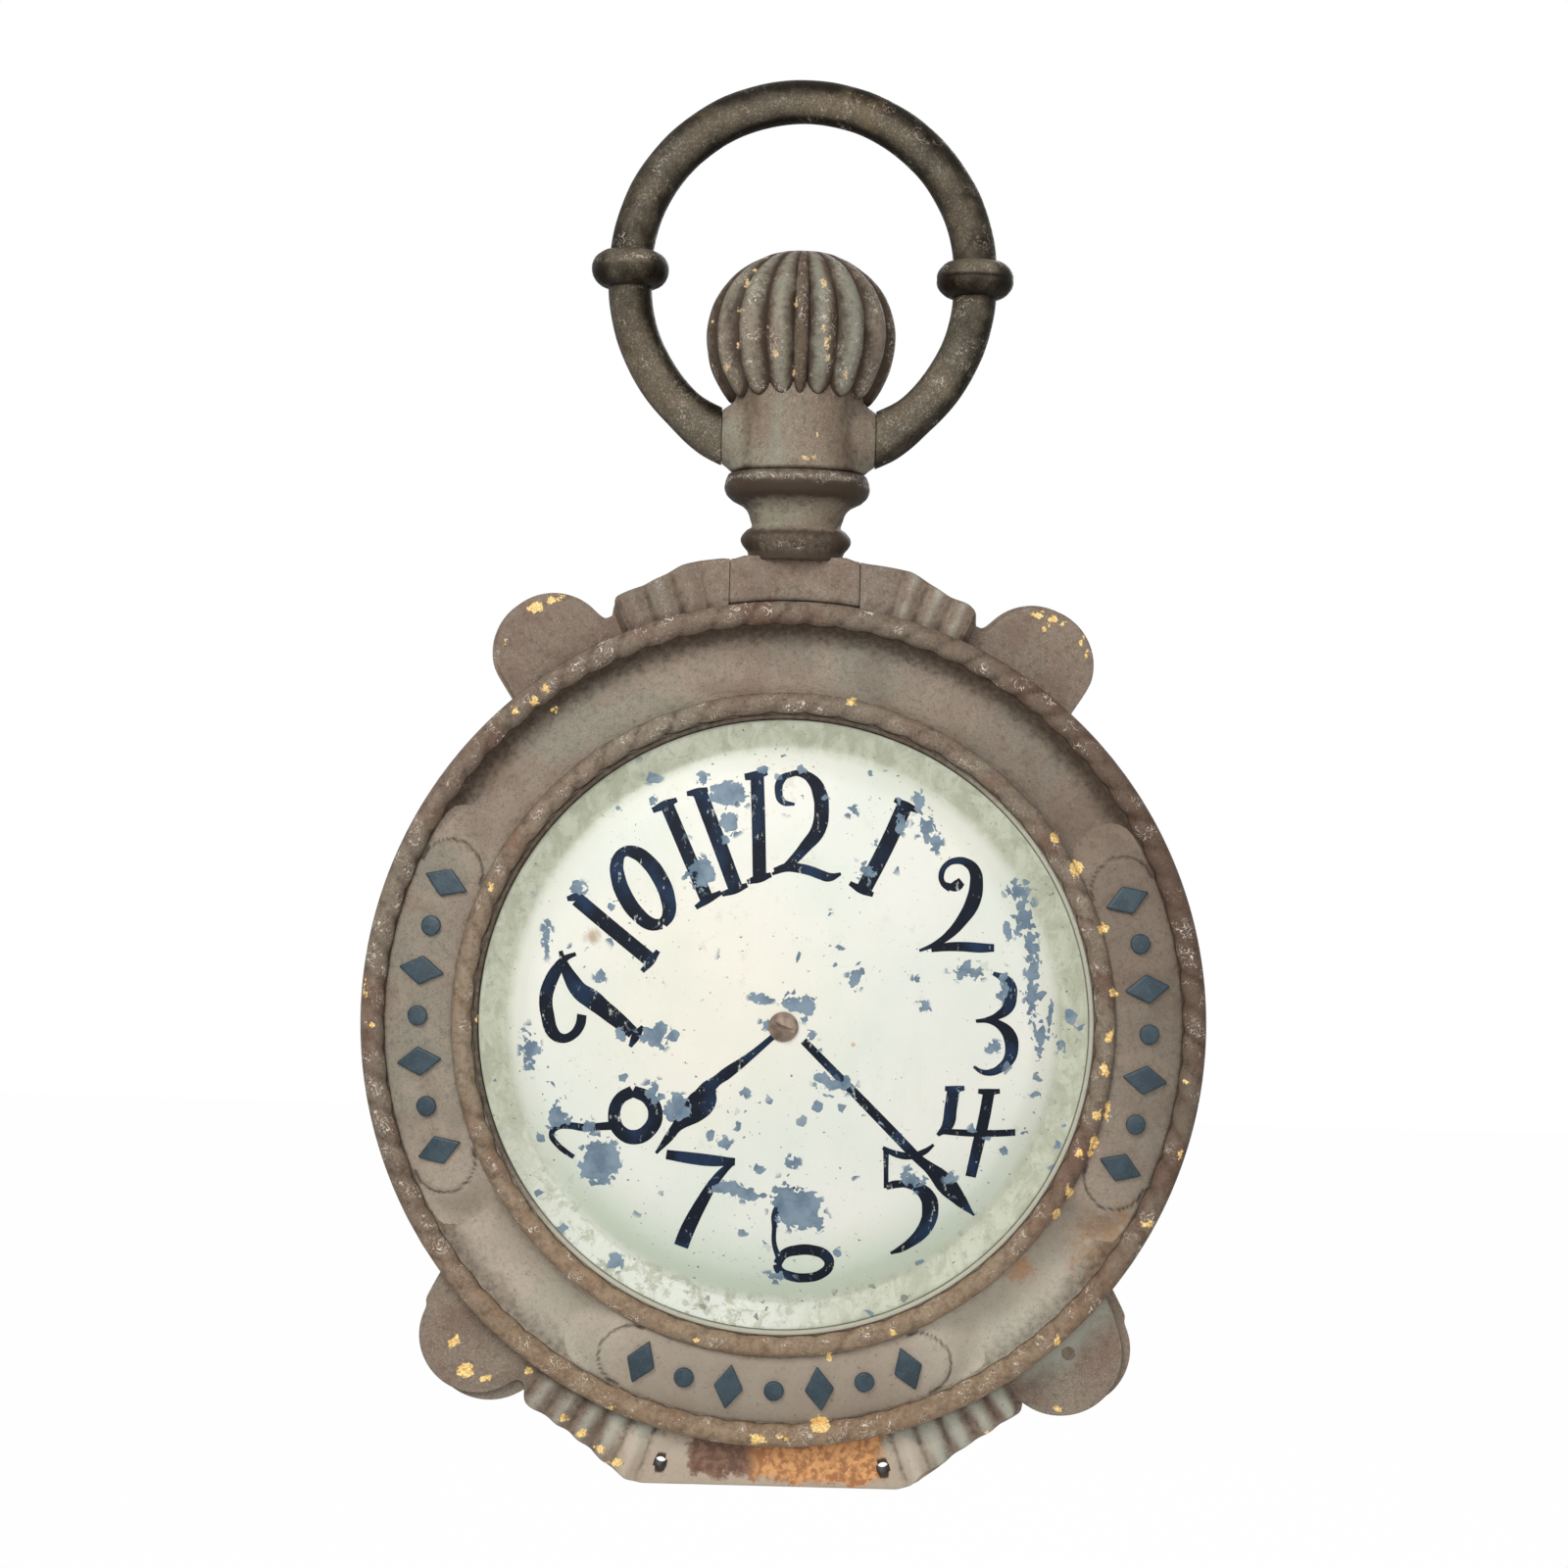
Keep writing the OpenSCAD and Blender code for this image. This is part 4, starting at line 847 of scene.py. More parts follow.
# %% Collars
def collar(side, lift):
    belly = [(13.4 + 11.8 * math.cos(t), 11.9 * math.sin(t)) for t in map(math.radians, range(-84, 85, 12))]
    bm = turned(bmesh.new(), [(11.5, -11.8)] + belly + [(11.5, 11.8)], 72)
    bm.transform(Matrix.Translation((side * BOW_R, 0, JOINT_Z + lift)))
    pale, crest, darkened = layers(bm, "pale", "crest", "dirt_and_shade")
    bm.normal_update()
    for v in bm.verts:
        high = v.co.z - JOINT_Z - 3
        beside = abs(v.co.x - side * BOW_R) / 25
        # The belly is paler facing front and back and darker at its sides and lower half, as painted highlight
        # and shade. Dirt sits in the line round the belly, and painted shade darkens the collar's ends, where
        # the bar comes out.
        v[pale] = (0.75 - 0.5 * smooth_step(beside, 0.3, 0.8)) * (1 - 0.5 * smooth_step(-high, -1, 3))
        v[crest] = 1.8 * hump(high, 6, 4)
        v[darkened] = 0.85 * hump(high, -0.5, 1.5) + 0.4 * smooth_step(abs(high), 9, 11.5)
        v.co += v.normal * (-0.35 * hump(high, -0.5, 1.2) + 0.3 * lumps(v.co, 7, 11))
    return bm


for word, side, lift in (("left", -1, 3.6), ("right", 1, 2.4)):
    finished(f"{word}_collar", collar(side, lift), bow_paint, "bow_paint", [f"bow_collar_{word}"], body="bow")

# %% [markdown]
# ## Crown
# The winding crown is a ribbed ball with ribs of uneven width, narrow at the front and wide at the sides.
# Separate ribs round a core would leave seams. A UV sphere is one skin, and is pulled in along each
# groove. The ribs end below in round tips that hang over the barrel.

# %% Ribs of the crown
# stripes down the front, pale ones and dark red-brown ones: (angle, half width, strength)
PALE = [(11, 4.5, 1.0), (34, 8, 0.95), (-13, 5, 0.6), (-32, 8, 0.5), (58, 5, 0.3)]
RUDDY = [
    (0.5, 4.5, 1.0), (20, 4, 0.85), (-22, 3.2, 0.9), (-45, 3, 0.6), (46, 2, 0.7), (68, 3, 0.5), (-66, 3, 0.6),
]
# angles of the grooves, from the first one right of the front to the same one again
QUARTER = [5, 23.5, 45, 68, 90]
HALF = QUARTER + [180 - g for g in QUARTER[3::-1]]
GROOVES = HALF + [180 + g for g in HALF] + [365]
CROWN_R, CROWN_TOP, CROWN_Z, GROOVE_DEPTH, FOOT_R = 62.0, 57.0, -140.22, 5.6, 30


def rib(angle):
    """How far across its rib a direction lies, from 0 to 1, and the rib's width in degrees."""
    angle = (angle - GROOVES[0]) % 360 + GROOVES[0]
    low, high = next(pair for pair in zip(GROOVES, GROOVES[1:]) if angle <= pair[1])
    return (angle - low) / (high - low), high - low


def crown_shape():
    bm = bmesh.new()
    bmesh.ops.create_uvsphere(bm, u_segments=288, v_segments=80, radius=1)
    darkened, crest, pale, ruddy, gilt = layers(bm, "dirt_and_shade", "crest", "pale", "ruddy", "gilt")
    for v in bm.verts:
        lat = math.asin(max(-1, min(1, v.co.z)))
        level = math.degrees(lat)
        turn = math.degrees(math.atan2(v.co.x, -v.co.y))
        across, width = rib(turn)
        turn = math.copysign(min(abs(turn), 180 - abs(turn)), turn)
        v[pale], v[ruddy] = max(humps(turn, PALE)), max(humps(turn, RUDDY))
        v[gilt] = smooth_step(abs(across - 0.5), 0.2, 0.4) * smooth_step(level, 70, 30)
        round_top = math.sin(math.pi * across) ** 0.7
        tip = -33 - 9 * round_top
        r = CROWN_R - GROOVE_DEPTH * math.sqrt(width / 20) * (1 - round_top) * smooth_step(level, 88, 60)
        if level > tip:
            reach, height = r * math.cos(lat), (CROWN_R if lat < 0 else CROWN_TOP) * math.sin(lat)
        else:
            fall = smooth_step(tip - level, 0, 10)
            reach = r * math.cos(math.radians(tip)) * (1 - fall) + FOOT_R * math.cos(lat) * fall
            height = CROWN_R * math.sin(math.radians(tip)) - 1.5 * math.sin(fall * math.pi) + 3 * fall
        flat = Vector((v.co.x, v.co.y)).normalized() if abs(v.co.z) < 0.9999 else Vector((0, 0))
        v.co = Vector((flat.x * reach, flat.y * reach, height))
        v.co += v.co.normalized() * 0.5 * lumps(v.co, 18, 3)
        from_side = math.degrees(math.acos(min(1, abs(v.co.y) / CROWN_R)))
        # Dirt in the grooves, with painted shade: a shadow line under the tips, and darker towards the sides of
        # the ball.
        v[darkened] = (1 - round_top) ** 0.75 * (0.85 + 0.5 * lumps(v.co, 20, 7)) * smooth_step(level, 84, 60)
        v[darkened] += 0.8 * hump(level, tip - 1, 2.5) + 0.4 * smooth_step(from_side, 60, 85) + 0.2
        v[crest] = 1.2 * round_top
    bm.transform(Matrix.Translation((0, 0, CROWN_Z)))
    return outward(bm)


finished("ribbed_crown", crown_shape(), crown_paint, "crown_paint", ["crown"], sharp=60)

# %% [markdown]
# ## Pendant
# The barrel and the two bosses that meet the arms are one casting with soft fillets between them. Fillets
# along such a joint are hard to bevel. So the simple forms are joined by a voxel remesh, which makes one
# even skin, and smoothing then rounds the joints.


# %% Barrel with bosses
BARREL_RIM, WAIST_DEPTH, BULGE, BOSS_END = 43.9, 5, 5.2, 49.75
ALL_WAYS = {"use_axis_x": True, "use_axis_y": True, "use_axis_z": True}
BOSS = [(0, 0), (27.6, 0), (28, 28), (27, 33), (25, 38), (22, 43.5), (18.8, 48), (17.6, 49.7), (0, 49.7)]


def pendant_shape():
    bm = bmesh.new()
    half, middle = (BARREL_TOP - BARREL_FOOT) / 2, (BARREL_TOP + BARREL_FOOT) / 2
    waist = [(BARREL_RIM - WAIST_DEPTH * (1 - t * t), half * t) for t in (i / 6 for i in range(-6, 7))]
    turned(bm, [(0, -half)] + waist + [(0, half)], 96, closed=False)
    bm.transform(Matrix.Translation((0, 0, middle)))
    for v in bm.verts:
        v.co.y += math.copysign(BULGE, v.co.y) if abs(v.co.y) > 0.5 else 0
    for side in (-1, 1):
        boss = turned(bmesh.new(), BOSS, 64, closed=False)
        boss.transform(Matrix.Translation((0, 0, PIVOT_Z)) @ Matrix.Rotation(math.radians(90 * side), 4, "Y"))
        add_shape(bm, boss)
    rough = placed("rough", mesh_from("rough", bm))
    remesh = rough.modifiers.new("skin", "REMESH")
    remesh.mode, remesh.voxel_size = "VOXEL", 1.5
    skin = result_of(rough)
    for count, edge in ((4, 49.0), (18, 46.0)):
        inner = [v for v in skin.verts if abs(v.co.x) < edge]
        for _ in range(count):
            bmesh.ops.smooth_vert(skin, verts=inner, factor=0.5, **ALL_WAYS)
    pale, ruddy, darkened = layers(skin, "pale", "ruddy", "dirt_and_shade")
    for v in skin.verts:
        high = (v.co.z - BARREL_FOOT) / (BARREL_TOP - BARREL_FOOT)
        v.co += v.co.normalized() * 0.25 * lumps(v.co, 14, 5)
        v.co.x = max(-BOSS_END, min(BOSS_END, v.co.x))
        x = v.co.x
        # A pale stripe left of the middle, a paler middle and a pale band on the left boss are painted
        # highlights. Painted shade darkens the top under the crown, the foot above the neck and a band where
        # each boss meets the barrel; the boss ends have a dark joint.
        v[pale] = 0.6 * hump(x, -14, 6) * smooth_step(high, 0.95, 0.7)
        v[pale] += 0.3 * hump(x, 0, 10) + 0.35 * hump(x, -43, 4)
        v[ruddy] = 0.45 * hump(x, 28, 14) + 0.35 * hump(x, -28, 7) * smooth_step(high, 0.3, 0.7)
        v[darkened] = 0.6 * smooth_step(high, 0.82, 1.0) + 0.5 * smooth_step(high, 0.08, 0.0)
        v[darkened] += 0.6 * smooth_step(abs(x), 48.9, 49.6) + 0.4 * hump(abs(x), 33, 5)
    return skin


finished("barrel_with_bosses", pendant_shape(), crown_paint, "crown_paint", ["pendant"], sharp=80)

# %% [markdown]
# ## Neck
# The neck between barrel and case is turned: a foot, a lower collar, a waist and a wider upper collar. Rings
# could be stacked, but one outline, spun, gives the hollows between them too.

# %% Neck
NECK = [
    (8, -285.2), (31, -285.2), (30.8, -280), (31.8, -278), (33.7, -275.9), (35.5, -273.3), (36, -270.7),
    (35, -268.2), (32, -264.9), (28.9, -263.1), (29, -261), (30.1, -257.9), (31, -254.8), (32.4, -251.9),
    (35.4, -249.2), (41.8, -246), (45.7, -242.5), (47.4, -237.9), (46.6, -233.2), (45.2, -229.4),
    (44.6, -228.8), (8, -228.8),
]
# painted shade by height: (middle, half width, strength)
NECK_SHADE = [
    (-241.5, 6, 1.25), (-283, 4.5, 0.95), (-268, 2.5, 0.45), (-273, 6, 0.65), (-229.5, 1.5, 0.6),
    (-235, 4, 0.25),
]
neck = turned(bmesh.new(), rounded(NECK, 1.6), 128)
crest, darkened, pale, gilt = layers(neck, "crest", "dirt_and_shade", "pale", "gilt")
for v in neck.verts:
    flat = Vector((v.co.x, v.co.y, 0)).normalized()
    v.co += flat * 0.3 * lumps(v.co, 20, 9)
    x, z = v.co.x, v.co.z
    v[crest] = 2.4 * hump(z, -233.5, 3) + 2.4 * hump(z, -275, 5) * hump(x, -3, 18)
    # Painted shade in bands by height and on the turning's sides, and a painted highlight on the front of the
    # waist.
    v[darkened] = sum(humps(z, NECK_SHADE)) + 0.45 * smooth_step(abs(flat.x), 0.55, 1)
    v[pale] = 0.45 * hump(z, -259, 6) * (1 - smooth_step(abs(flat.x), 0.4, 0.8))
    v[gilt] = 1.2 * hump(z, -234.5, 2.8) * hump(x, 0, 26) + 1.2 * hump(z, -275, 4.5) * hump(x, -3, 13)
finished("neck_turning", neck, crown_paint, "crown_paint", ["neck"])

# %% [markdown]
# ## Ring of the case
# Each half of the case is a cast ring with a deep cove between two rope mouldings and a thin lip round
# the dial. A disc could be carved, but the wall follows the cove on its inner side too. So the whole
# section is one closed outline, rounded and spun.


# %% Ring
def cove(steps=14):
    """Points of the cove's arc from the outer edge to the inner one."""
    a, b = Vector((COVE_OUT, SEAT_OUT)), Vector((COVE_IN, SEAT_IN))
    half = (b - a).length / 2
    r = (half**2 + COVE_SAG**2) / (2 * COVE_SAG)
    centre = (a + b) / 2 + Vector((b.y - a.y, a.x - b.x)).normalized() * (r - COVE_SAG)
    start = math.atan2(a.y - centre.y, a.x - centre.x)
    end = math.atan2(b.y - centre.y, b.x - centre.x)
    end -= math.tau if end > start else 0
    angles = [start + (end - start) * i / steps for i in range(steps + 1)]
    return [(centre.x + r * math.cos(angle), centre.y + r * math.sin(angle)) for angle in angles]


def floor_of_cove(r):
    """Height of the cove's floor at a radius."""
    points = cove(40)
    for (r1, h1), (r2, h2) in zip(points, points[1:]):
        if r2 <= r <= r1:
            return h1 + (h2 - h1) * (r1 - r) / (r1 - r2)
    return SEAT_OUT if r > COVE_OUT else SEAT_IN


def reddened(angle):
    """How red-brown the case is at a clock angle: most at the right, less at the left."""
    return sum(humps(math.degrees(angle), [(80, 42, 0.85), (-88, 32, 0.4)]))


RING = [(BODY_R, SEAM), (BODY_R, SEAT_OUT)] + cove() + [
    (199, SEAT_IN), (198.6, 26.6), (OPENING_R, 26.6), (OPENING_R, 21.8), (LEDGE_R, 19.6), (LEDGE_R, SEAM),
    (193, SEAM), (193, 15.8), (212, 13), (226, 4.5), (246, 4.5), (256, 12), (266, 12), (266, SEAM),
]
ring = turned(bmesh.new(), rounded(RING, 1.0), 360)
darkened, crest, rim, ruddy = layers(ring, "dirt_and_shade", "crest", "rim", "ruddy")
for v in ring.verts:
    r = math.hypot(v.co.x, v.co.y)
    if v.co.z > 8 and 210 < r < 260:
        v.co.z += 0.35 * lumps(v.co, 30, 2)
    # rim marks a painted highlight on the lip's lower right, and the lip's upper left gets painted shade. The
    # cove is darker next to the outer rope, less so at the bottom, and next to the inner rope: dirt together
    # with painted shade.
    lip = smooth_step(r, 199.4, 198.6) if v.co.z > 20 else 0
    v[rim] = lip * smooth_step((v.co.x - v.co.y) / r, -0.6, 0.3)
    v[darkened] = (0.8 - 0.35 * smooth_step(-v.co.y, 60, 200)) * smooth_step(r, 236, 256)
    v[darkened] += 0.3 * smooth_step(r, 222, 212) * (1 - lip) + 0.7 * (lip - v[rim])
    v[crest] = 0.25
    v[ruddy] = reddened(clock_angle(v.co))
CASE_NODES = ("case_front", "case_rear")
front_and_rear("case_ring", ring, case_paint, "case_paint", CASE_NODES)

# %% [markdown]
# ## Flanges and ears
# Outside the ring stand a thick flange at the top, a thinner one at the bottom and four ears. Flat plates
# would need their own flutes and a joint with the ring. Instead a section is spun right round, and each
# of its rings is pushed out to the outline at its angle, made as thick as that part is, and waved where
# flutes fan out.

# %% Sizes of the quarters
# For each quarter: knots of the flange (degrees from top or bottom, distance outside the ring), height of
# its level part, the web's reach, the ear's (angle, distance of its middle outside the ring, radius, flare
# of its far root), and the flutes' (first, distance between two, number).
QUARTERS = {
    ("top", "right"): (
        [(8.5, 28.6), (12.2, 29.7), (14.2, 30.1), (15.2, 28.8), (17.2, 26), (19.2, 23.3), (20.2, 22.7),
         (22.2, 22.9), (23.2, 21.7), (23.9, 19), (24.4, 12.6)],
        26, 12.4, (33.8, 11, 37.8, 0), (14.85, 3.45, 3)),
    ("top", "left"): (
        [(8.5, 29.9), (11.9, 30.7), (13.9, 30.1), (14.9, 28.8), (16, 27), (17, 25.9), (18, 25.2), (19, 24.1),
         (21, 23.7), (22.8, 23.4), (23.3, 22), (23.9, 13.8)],
        26, 13.8, (33.25, 10.8, 37.8, 0), (13.5, 3.75, 3)),
    ("low", "right"): (
        [(15.4, 38.8), (16.9, 38.8), (17.7, 36), (18.4, 33.6), (20, 32.4), (21, 31.2), (23, 28.2), (25, 25.7),
         (27, 24.7), (29, 23.5), (31, 22.4), (32, 21.8), (32.5, 20), (33, 15)],
        28, 15.0, (41.35, 8.5, 40.2, 10), (17.8, 3.45, 5)),
    ("low", "left"): (
        [(15.8, 39.7), (17.6, 40.1), (18.4, 38.2), (20, 35.8), (21, 34.2), (22.8, 30.4), (24.8, 28.4),
         (26, 26.6), (27.8, 26.2), (29, 24.9), (31, 25.2), (32.8, 25.1), (33.4, 22), (34, 17)],
        28, 17.0, (42.9, 11.7, 37.8, 11), (17.8, 3.45, 5)),
}
THICK, EAR_T = {"top": 20.0, "low": 10.0}, 5.0
STEP, LEAST, NOWHERE = 0.25, -4.5, -20.0
COUNT = round(360 / STEP)
print("knots in all:", sum(len(quarter[0]) for quarter in QUARTERS.values()))


# %% Outline, thickness and flutes by angle


def folded(angle):
    """Degrees from the top or bottom, which of them it is, and the side, for a clock angle in degrees."""
    signed = (angle + 180) % 360 - 180
    half = "top" if abs(signed) < 90 else "low"
    return min(abs(signed), 180 - abs(signed)), half, "right" if signed > 0 else "left"


def outline(angle):
    """How far the outline stands outside the ring."""
    a, *quarter = folded(angle)
    knots, level, web, (middle, ear_out, ear_r, flare), _ = QUARTERS[tuple(quarter)]
    r, off = RING_R + ear_out, math.radians(a - middle)
    lobe = flange = NOWHERE
    if abs(math.sin(off)) * r < ear_r:
        lobe = r * math.cos(off) + math.sqrt(ear_r**2 - (r * math.sin(off)) ** 2) - RING_R
    if flare and math.degrees(off) > 7.4:
        lobe = max(lobe, 20 - (math.degrees(off) - 8.0) * flare)
    if a < knots[0][0]:
        flange = (RING_R + level) / math.cos(math.radians(a)) - RING_R
    for (a1, o1), (a2, o2) in zip(knots, knots[1:]):
        if a1 <= a <= a2:
            flange = o1 + (o2 - o1) * (a - a1) / (a2 - a1)
    return max(lobe, NOWHERE if a >= middle else web, flange, LEAST)


def thickness(angle):
    a, half, side = folded(angle)
    end = QUARTERS[half, side][0][-1][0]
    return EAR_T + (THICK[half] - EAR_T) * (1 - smooth_step(a, end - 0.9, end + 0.1))


def flute(angle, r):
    """Height of the flutes from 0 to 1, and how much of a groove between two it is."""
    a, half, side = folded(angle)
    first, gap, count = QUARTERS[half, side][-1]
    a -= 0.012 * (r - 285)
    near = round((a - first) / gap)
    if near < 0 or near >= count:
        edge = min(abs(a - (first - gap / 2)), abs(a - (first + gap * (count - 0.5))))
        return 0.0, 0.6 * (1 - smooth_step(edge, 0, 1.2))
    off = abs(a - first - gap * near) / (gap / 2)
    return 0.5 + 0.5 * math.cos(math.pi * off), smooth_step(off, 0.5, 1.0)


reach = [outline(i * STEP) for i in range(COUNT)]
for _ in range(3):
    reach = [(reach[i - 1] + 2 * reach[i] + reach[(i + 1) % COUNT]) / 4 for i in range(COUNT)]
print("the outline reaches", round(max(reach), 1), "mm outside the ring")

# %% [markdown]
# The band's edge is eased a little, as a casting's is. A bevel would catch every flute as well, so the
# easing is in the section's own points.

# %% Flange band
INSIDE = -5.5
# the section's points: (share of the reach, height as a share, offset across, offset up)
SECTION = [
    (0, 0, 0, SEAM), (1, 0, -0.5, SEAM), (1, 0, 0, 0.8), (1, 1, 0, -2.4), (1, 1, -0.35, -1.2),
    (1, 1, -1.2, -0.35), (0.93, 1, -2.4, 0),
] + [(share, 1, 0, 0) for share in (0.84, 0.72, 0.6, 0.48, 0.36, 0.24, 0.12, 0)]
# how pale the flutes are in each quarter of the clock, from the upper right
FLUTE_PALE = (0.6, 0.9, 0.6, 0.25)


def flange_band():
    bm = bmesh.new()
    verts = [bm.verts.new((BODY_R, 0, i)) for i in range(len(SECTION))]
    edges = [bm.edges.new(pair) for pair in zip(verts, verts[1:] + verts[:1])]
    bmesh.ops.spin(bm, geom=verts + edges, axis=(0, 0, 1), angle=math.tau, steps=COUNT, use_merge=True)
    darkened, crest, pale, ruddy = layers(bm, "dirt_and_shade", "crest", "pale", "ruddy")
    for v in bm.verts:
        angle = (math.degrees(clock_angle(v.co)) + 360) % 360
        share, high, across, up = SECTION[round(v.co.z)]
        out = reach[round(angle / STEP) % COUNT]
        r = RING_R + INSIDE + (max(out, INSIDE + 1) - INSIDE) * share + across
        z = thickness(angle) * high + up
        wave, groove = flute(angle, r)
        upper = angle < 90 or angle > 270
        if high:
            z += 3.5 * wave * smooth_step(r, 268, 276)
            v[darkened] = 0.5 * groove * smooth_step(out - (r - RING_R), -1, 3)
            v[darkened] += (0.35 if upper else 0.15) * smooth_step(r, 279, 272)
        foot = smooth_step(RING_R * math.cos(math.radians(angle)), -240, -262)
        v[pale] = wave * FLUTE_PALE[int(angle // 90) % 4] + 0.6 * foot * smooth_step(r, 300, 285)
        v[pale] += 1.1 * hump(angle, 136, 11) * smooth_step(r, 300, 274)
        v[ruddy] = 0.6 * groove * smooth_step(r, 270, 285)
        v[crest] = 0.9 if share == 1 else 0.2 + 0.6 * smooth_step(wave, 0.6, 1.0)
        v.co = on_face(math.radians(angle), r, z)
        v.co.z += 0.3 * high * lumps(v.co, 25, 4)
    return outward(bm)


# %% [markdown]
# The top flange has a gap for the pedestal and the bottom one two holes for wires. Leaving faces out would
# make ragged edges, so they are cut by Blender's exact boolean.


# %% Gap and tie holes
TIE_X, TIE_Y, TIE_R = 72, -286, 4


def cutter():
    """The block of the gap and the two pins of the holes."""
    bm = bmesh.new()
    block = Matrix.Translation((0, 290, 10)) @ Matrix.Diagonal((84.4, 60, 90, 1))
    bmesh.ops.create_cube(bm, size=1, matrix=block)
    pin = {"cap_ends": True, "segments": 32, "radius1": TIE_R, "radius2": TIE_R, "depth": 60}
    for x in (-TIE_X, TIE_X):
        bmesh.ops.create_cone(bm, matrix=Matrix.Translation((x, TIE_Y, 0)), **pin)
    return bm


body, tool = (placed(name, mesh_from(name, bm)) for name, bm in (("body", flange_band()), ("tool", cutter())))
change = body.modifiers.new("cut", "BOOLEAN")
change.operation, change.solver, change.object = "DIFFERENCE", "EXACT", tool
band = result_of(body, tool)
# The walls of the tie holes are painted dark, as the shade inside them.
darkened = band.verts.layers.float["dirt_and_shade"]
for v in band.verts:
    if math.hypot(abs(v.co.x) - TIE_X, v.co.y - TIE_Y) < TIE_R + 0.3:
        v[darkened] = 1.6
front_and_rear("flange_and_ears", band, flange_paint, "case_paint", CASE_NODES)

# %% [markdown]
# ## Pedestal block
# The block under the neck fills the gap in the top flange. A cube could be cut to the ring's curve, but a
# grid, lifted to a slab, follows it with its lower row and keeps even faces.

# %% Pedestal
BLOCK_X, BLOCK_TOP, BLOCK_T = 41.9, 298, 21
block = bmesh.new()
bmesh.ops.create_grid(block, x_segments=28, y_segments=6, size=1)
half = thickened(block)
for i, v in enumerate(block.verts):
    x = v.co.x * BLOCK_X
    low = math.sqrt((RING_R + 0.1) ** 2 - x * x)
    top = BLOCK_TOP + 2.6 * smooth_step(abs(x), 41, 31)
    v.co = Vector((x, low + (top - low) * (v.co.y + 1) / 2, BLOCK_T if i >= half else -BLOCK_T))
outward(block)
eased(block, 1.6)
(darkened,) = layers(block, "dirt_and_shade")
for v in block.verts:
    v[darkened] = 0.5 * smooth_step(math.hypot(v.co.x, v.co.y), 276, 273)
    v.co.z += math.copysign(0.3, v.co.z) * lumps(v.co, 24, 6)
block.transform(STAND)
finished("pedestal_casting", block, flange_paint, "case_paint", ["pedestal_block"])

# %% [markdown]
# ## Rope mouldings
# A rope moulding is a half-round bead with slanting strands, cast with the ring and worn soft. Real strands
# could be twisted together, but these are one casting. So a small circle spun round the ring gives the
# bead, and a wave that runs slantwise along it presses the strands in.


# %% Ropes
def rope(mid_r, half, seat, turns, bite, seed):
    """A bead round the ring, with so many strands, pressed in by a share of its height."""
    bm = bmesh.new()
    outer = mid_r > 250
    circle = bmesh.ops.create_circle(bm, segments=16, radius=1)["verts"]
    upright = Matrix.Translation((mid_r, 0, 0)) @ Matrix.Rotation(math.radians(90), 4, "X")
    bmesh.ops.transform(bm, matrix=upright, verts=circle)
    geom = circle + bm.edges[:]
    bmesh.ops.spin(bm, geom=geom, axis=(0, 0, 1), angle=math.tau, steps=turns * 12, use_merge=True)
    darkened, crest, ruddy, pale = layers(bm, "dirt_and_shade", "crest", "ruddy", "pale")
    for v in bm.verts:
        angle = clock_angle(v.co)
        bottom = smooth_step(-math.cos(angle), 0.35, 0.85)
        side, high = math.hypot(v.co.x, v.co.y) - mid_r, v.co.z
        wear = (0.65 + 0.35 * lumps(on_face(angle, 200, seed), 60, seed)) * (1 - 0.35 * bottom)
        wander = 0.5 * lumps(on_face(angle, 200, 7), 45, seed + 1)
        slant = max(-0.4, math.atan2(high, side)) * 1.35
        strand = abs(math.sin((angle * turns + slant) / 2 + wander)) ** 0.7
        level = 1 - bite * wear * (1 - strand)
        swell = half * (level if side < 0 else 1 - (1 - level) * max(0, 1 - side * 1.6))
        z = seat + (half * level * high * 1.12 + 0.35 * lumps(v.co, 9, seed) if high > 0 else high * 1.5)
        # Dark between the strands and under the bead: dirt together with painted shade.
        v[darkened] = 0.75 * (1 - strand) ** 1.2 * wear + 0.6 * smooth_step(high, 0.3, 0.0)
        v[crest] = (1.3 if outer else 1.0) * smooth_step(strand, 0.3, 0.9) * smooth_step(high, 0.1, 0.5)
        v[ruddy] = 0.15 + 0.6 * hump(math.degrees(angle), 68, 40) if outer else 0.05
        v[pale] = 0.65 * bottom if outer else 0.5 * bottom + 0.35 * hump(math.degrees(angle), -95, 45)
        v.co = on_face(angle, mid_r + swell * side, z)
    return outward(bm)


for word, shape in (
        ("outer", rope(RING_R - ROPE_OUT, ROPE_OUT, SEAT_OUT, 78, 0.30, 1.0)),
        ("inner", rope(ROPE_IN_R, ROPE_IN, SEAT_IN, 55, 0.34, 4.0))):
    nodes = (f"{word}_rope_front", f"{word}_rope_rear")
    front_and_rear(f"{word}_rope_bead", shape, rope_paint, "case_paint", nodes, sharp=60)

# %% [markdown]
# ## Raised panels
# Three pads with round ends fill the cove at the left, right and bottom. A cut from a spun ring would have
# square ends. A grid is bent to the ring instead, its ends are drawn in to half circles, and its height
# runs from the cove's floor to a convex face.

# %% Panels
PAD_OUT, PAD_IN = 256.3, 213.2
PAD_MID, PAD_HALF, PAD_ANGLE, PAD_CREST = 234.5, 21.8, 23.2, 4.0


def pad_face(r):
    """Height of the pads' convex face at a radius."""
    t = (r - PAD_IN) / (PAD_OUT - PAD_IN)
    return SEAT_IN + (SEAT_OUT - SEAT_IN) * t + PAD_CREST * (1 - ((r - PAD_MID) / PAD_HALF) ** 2)


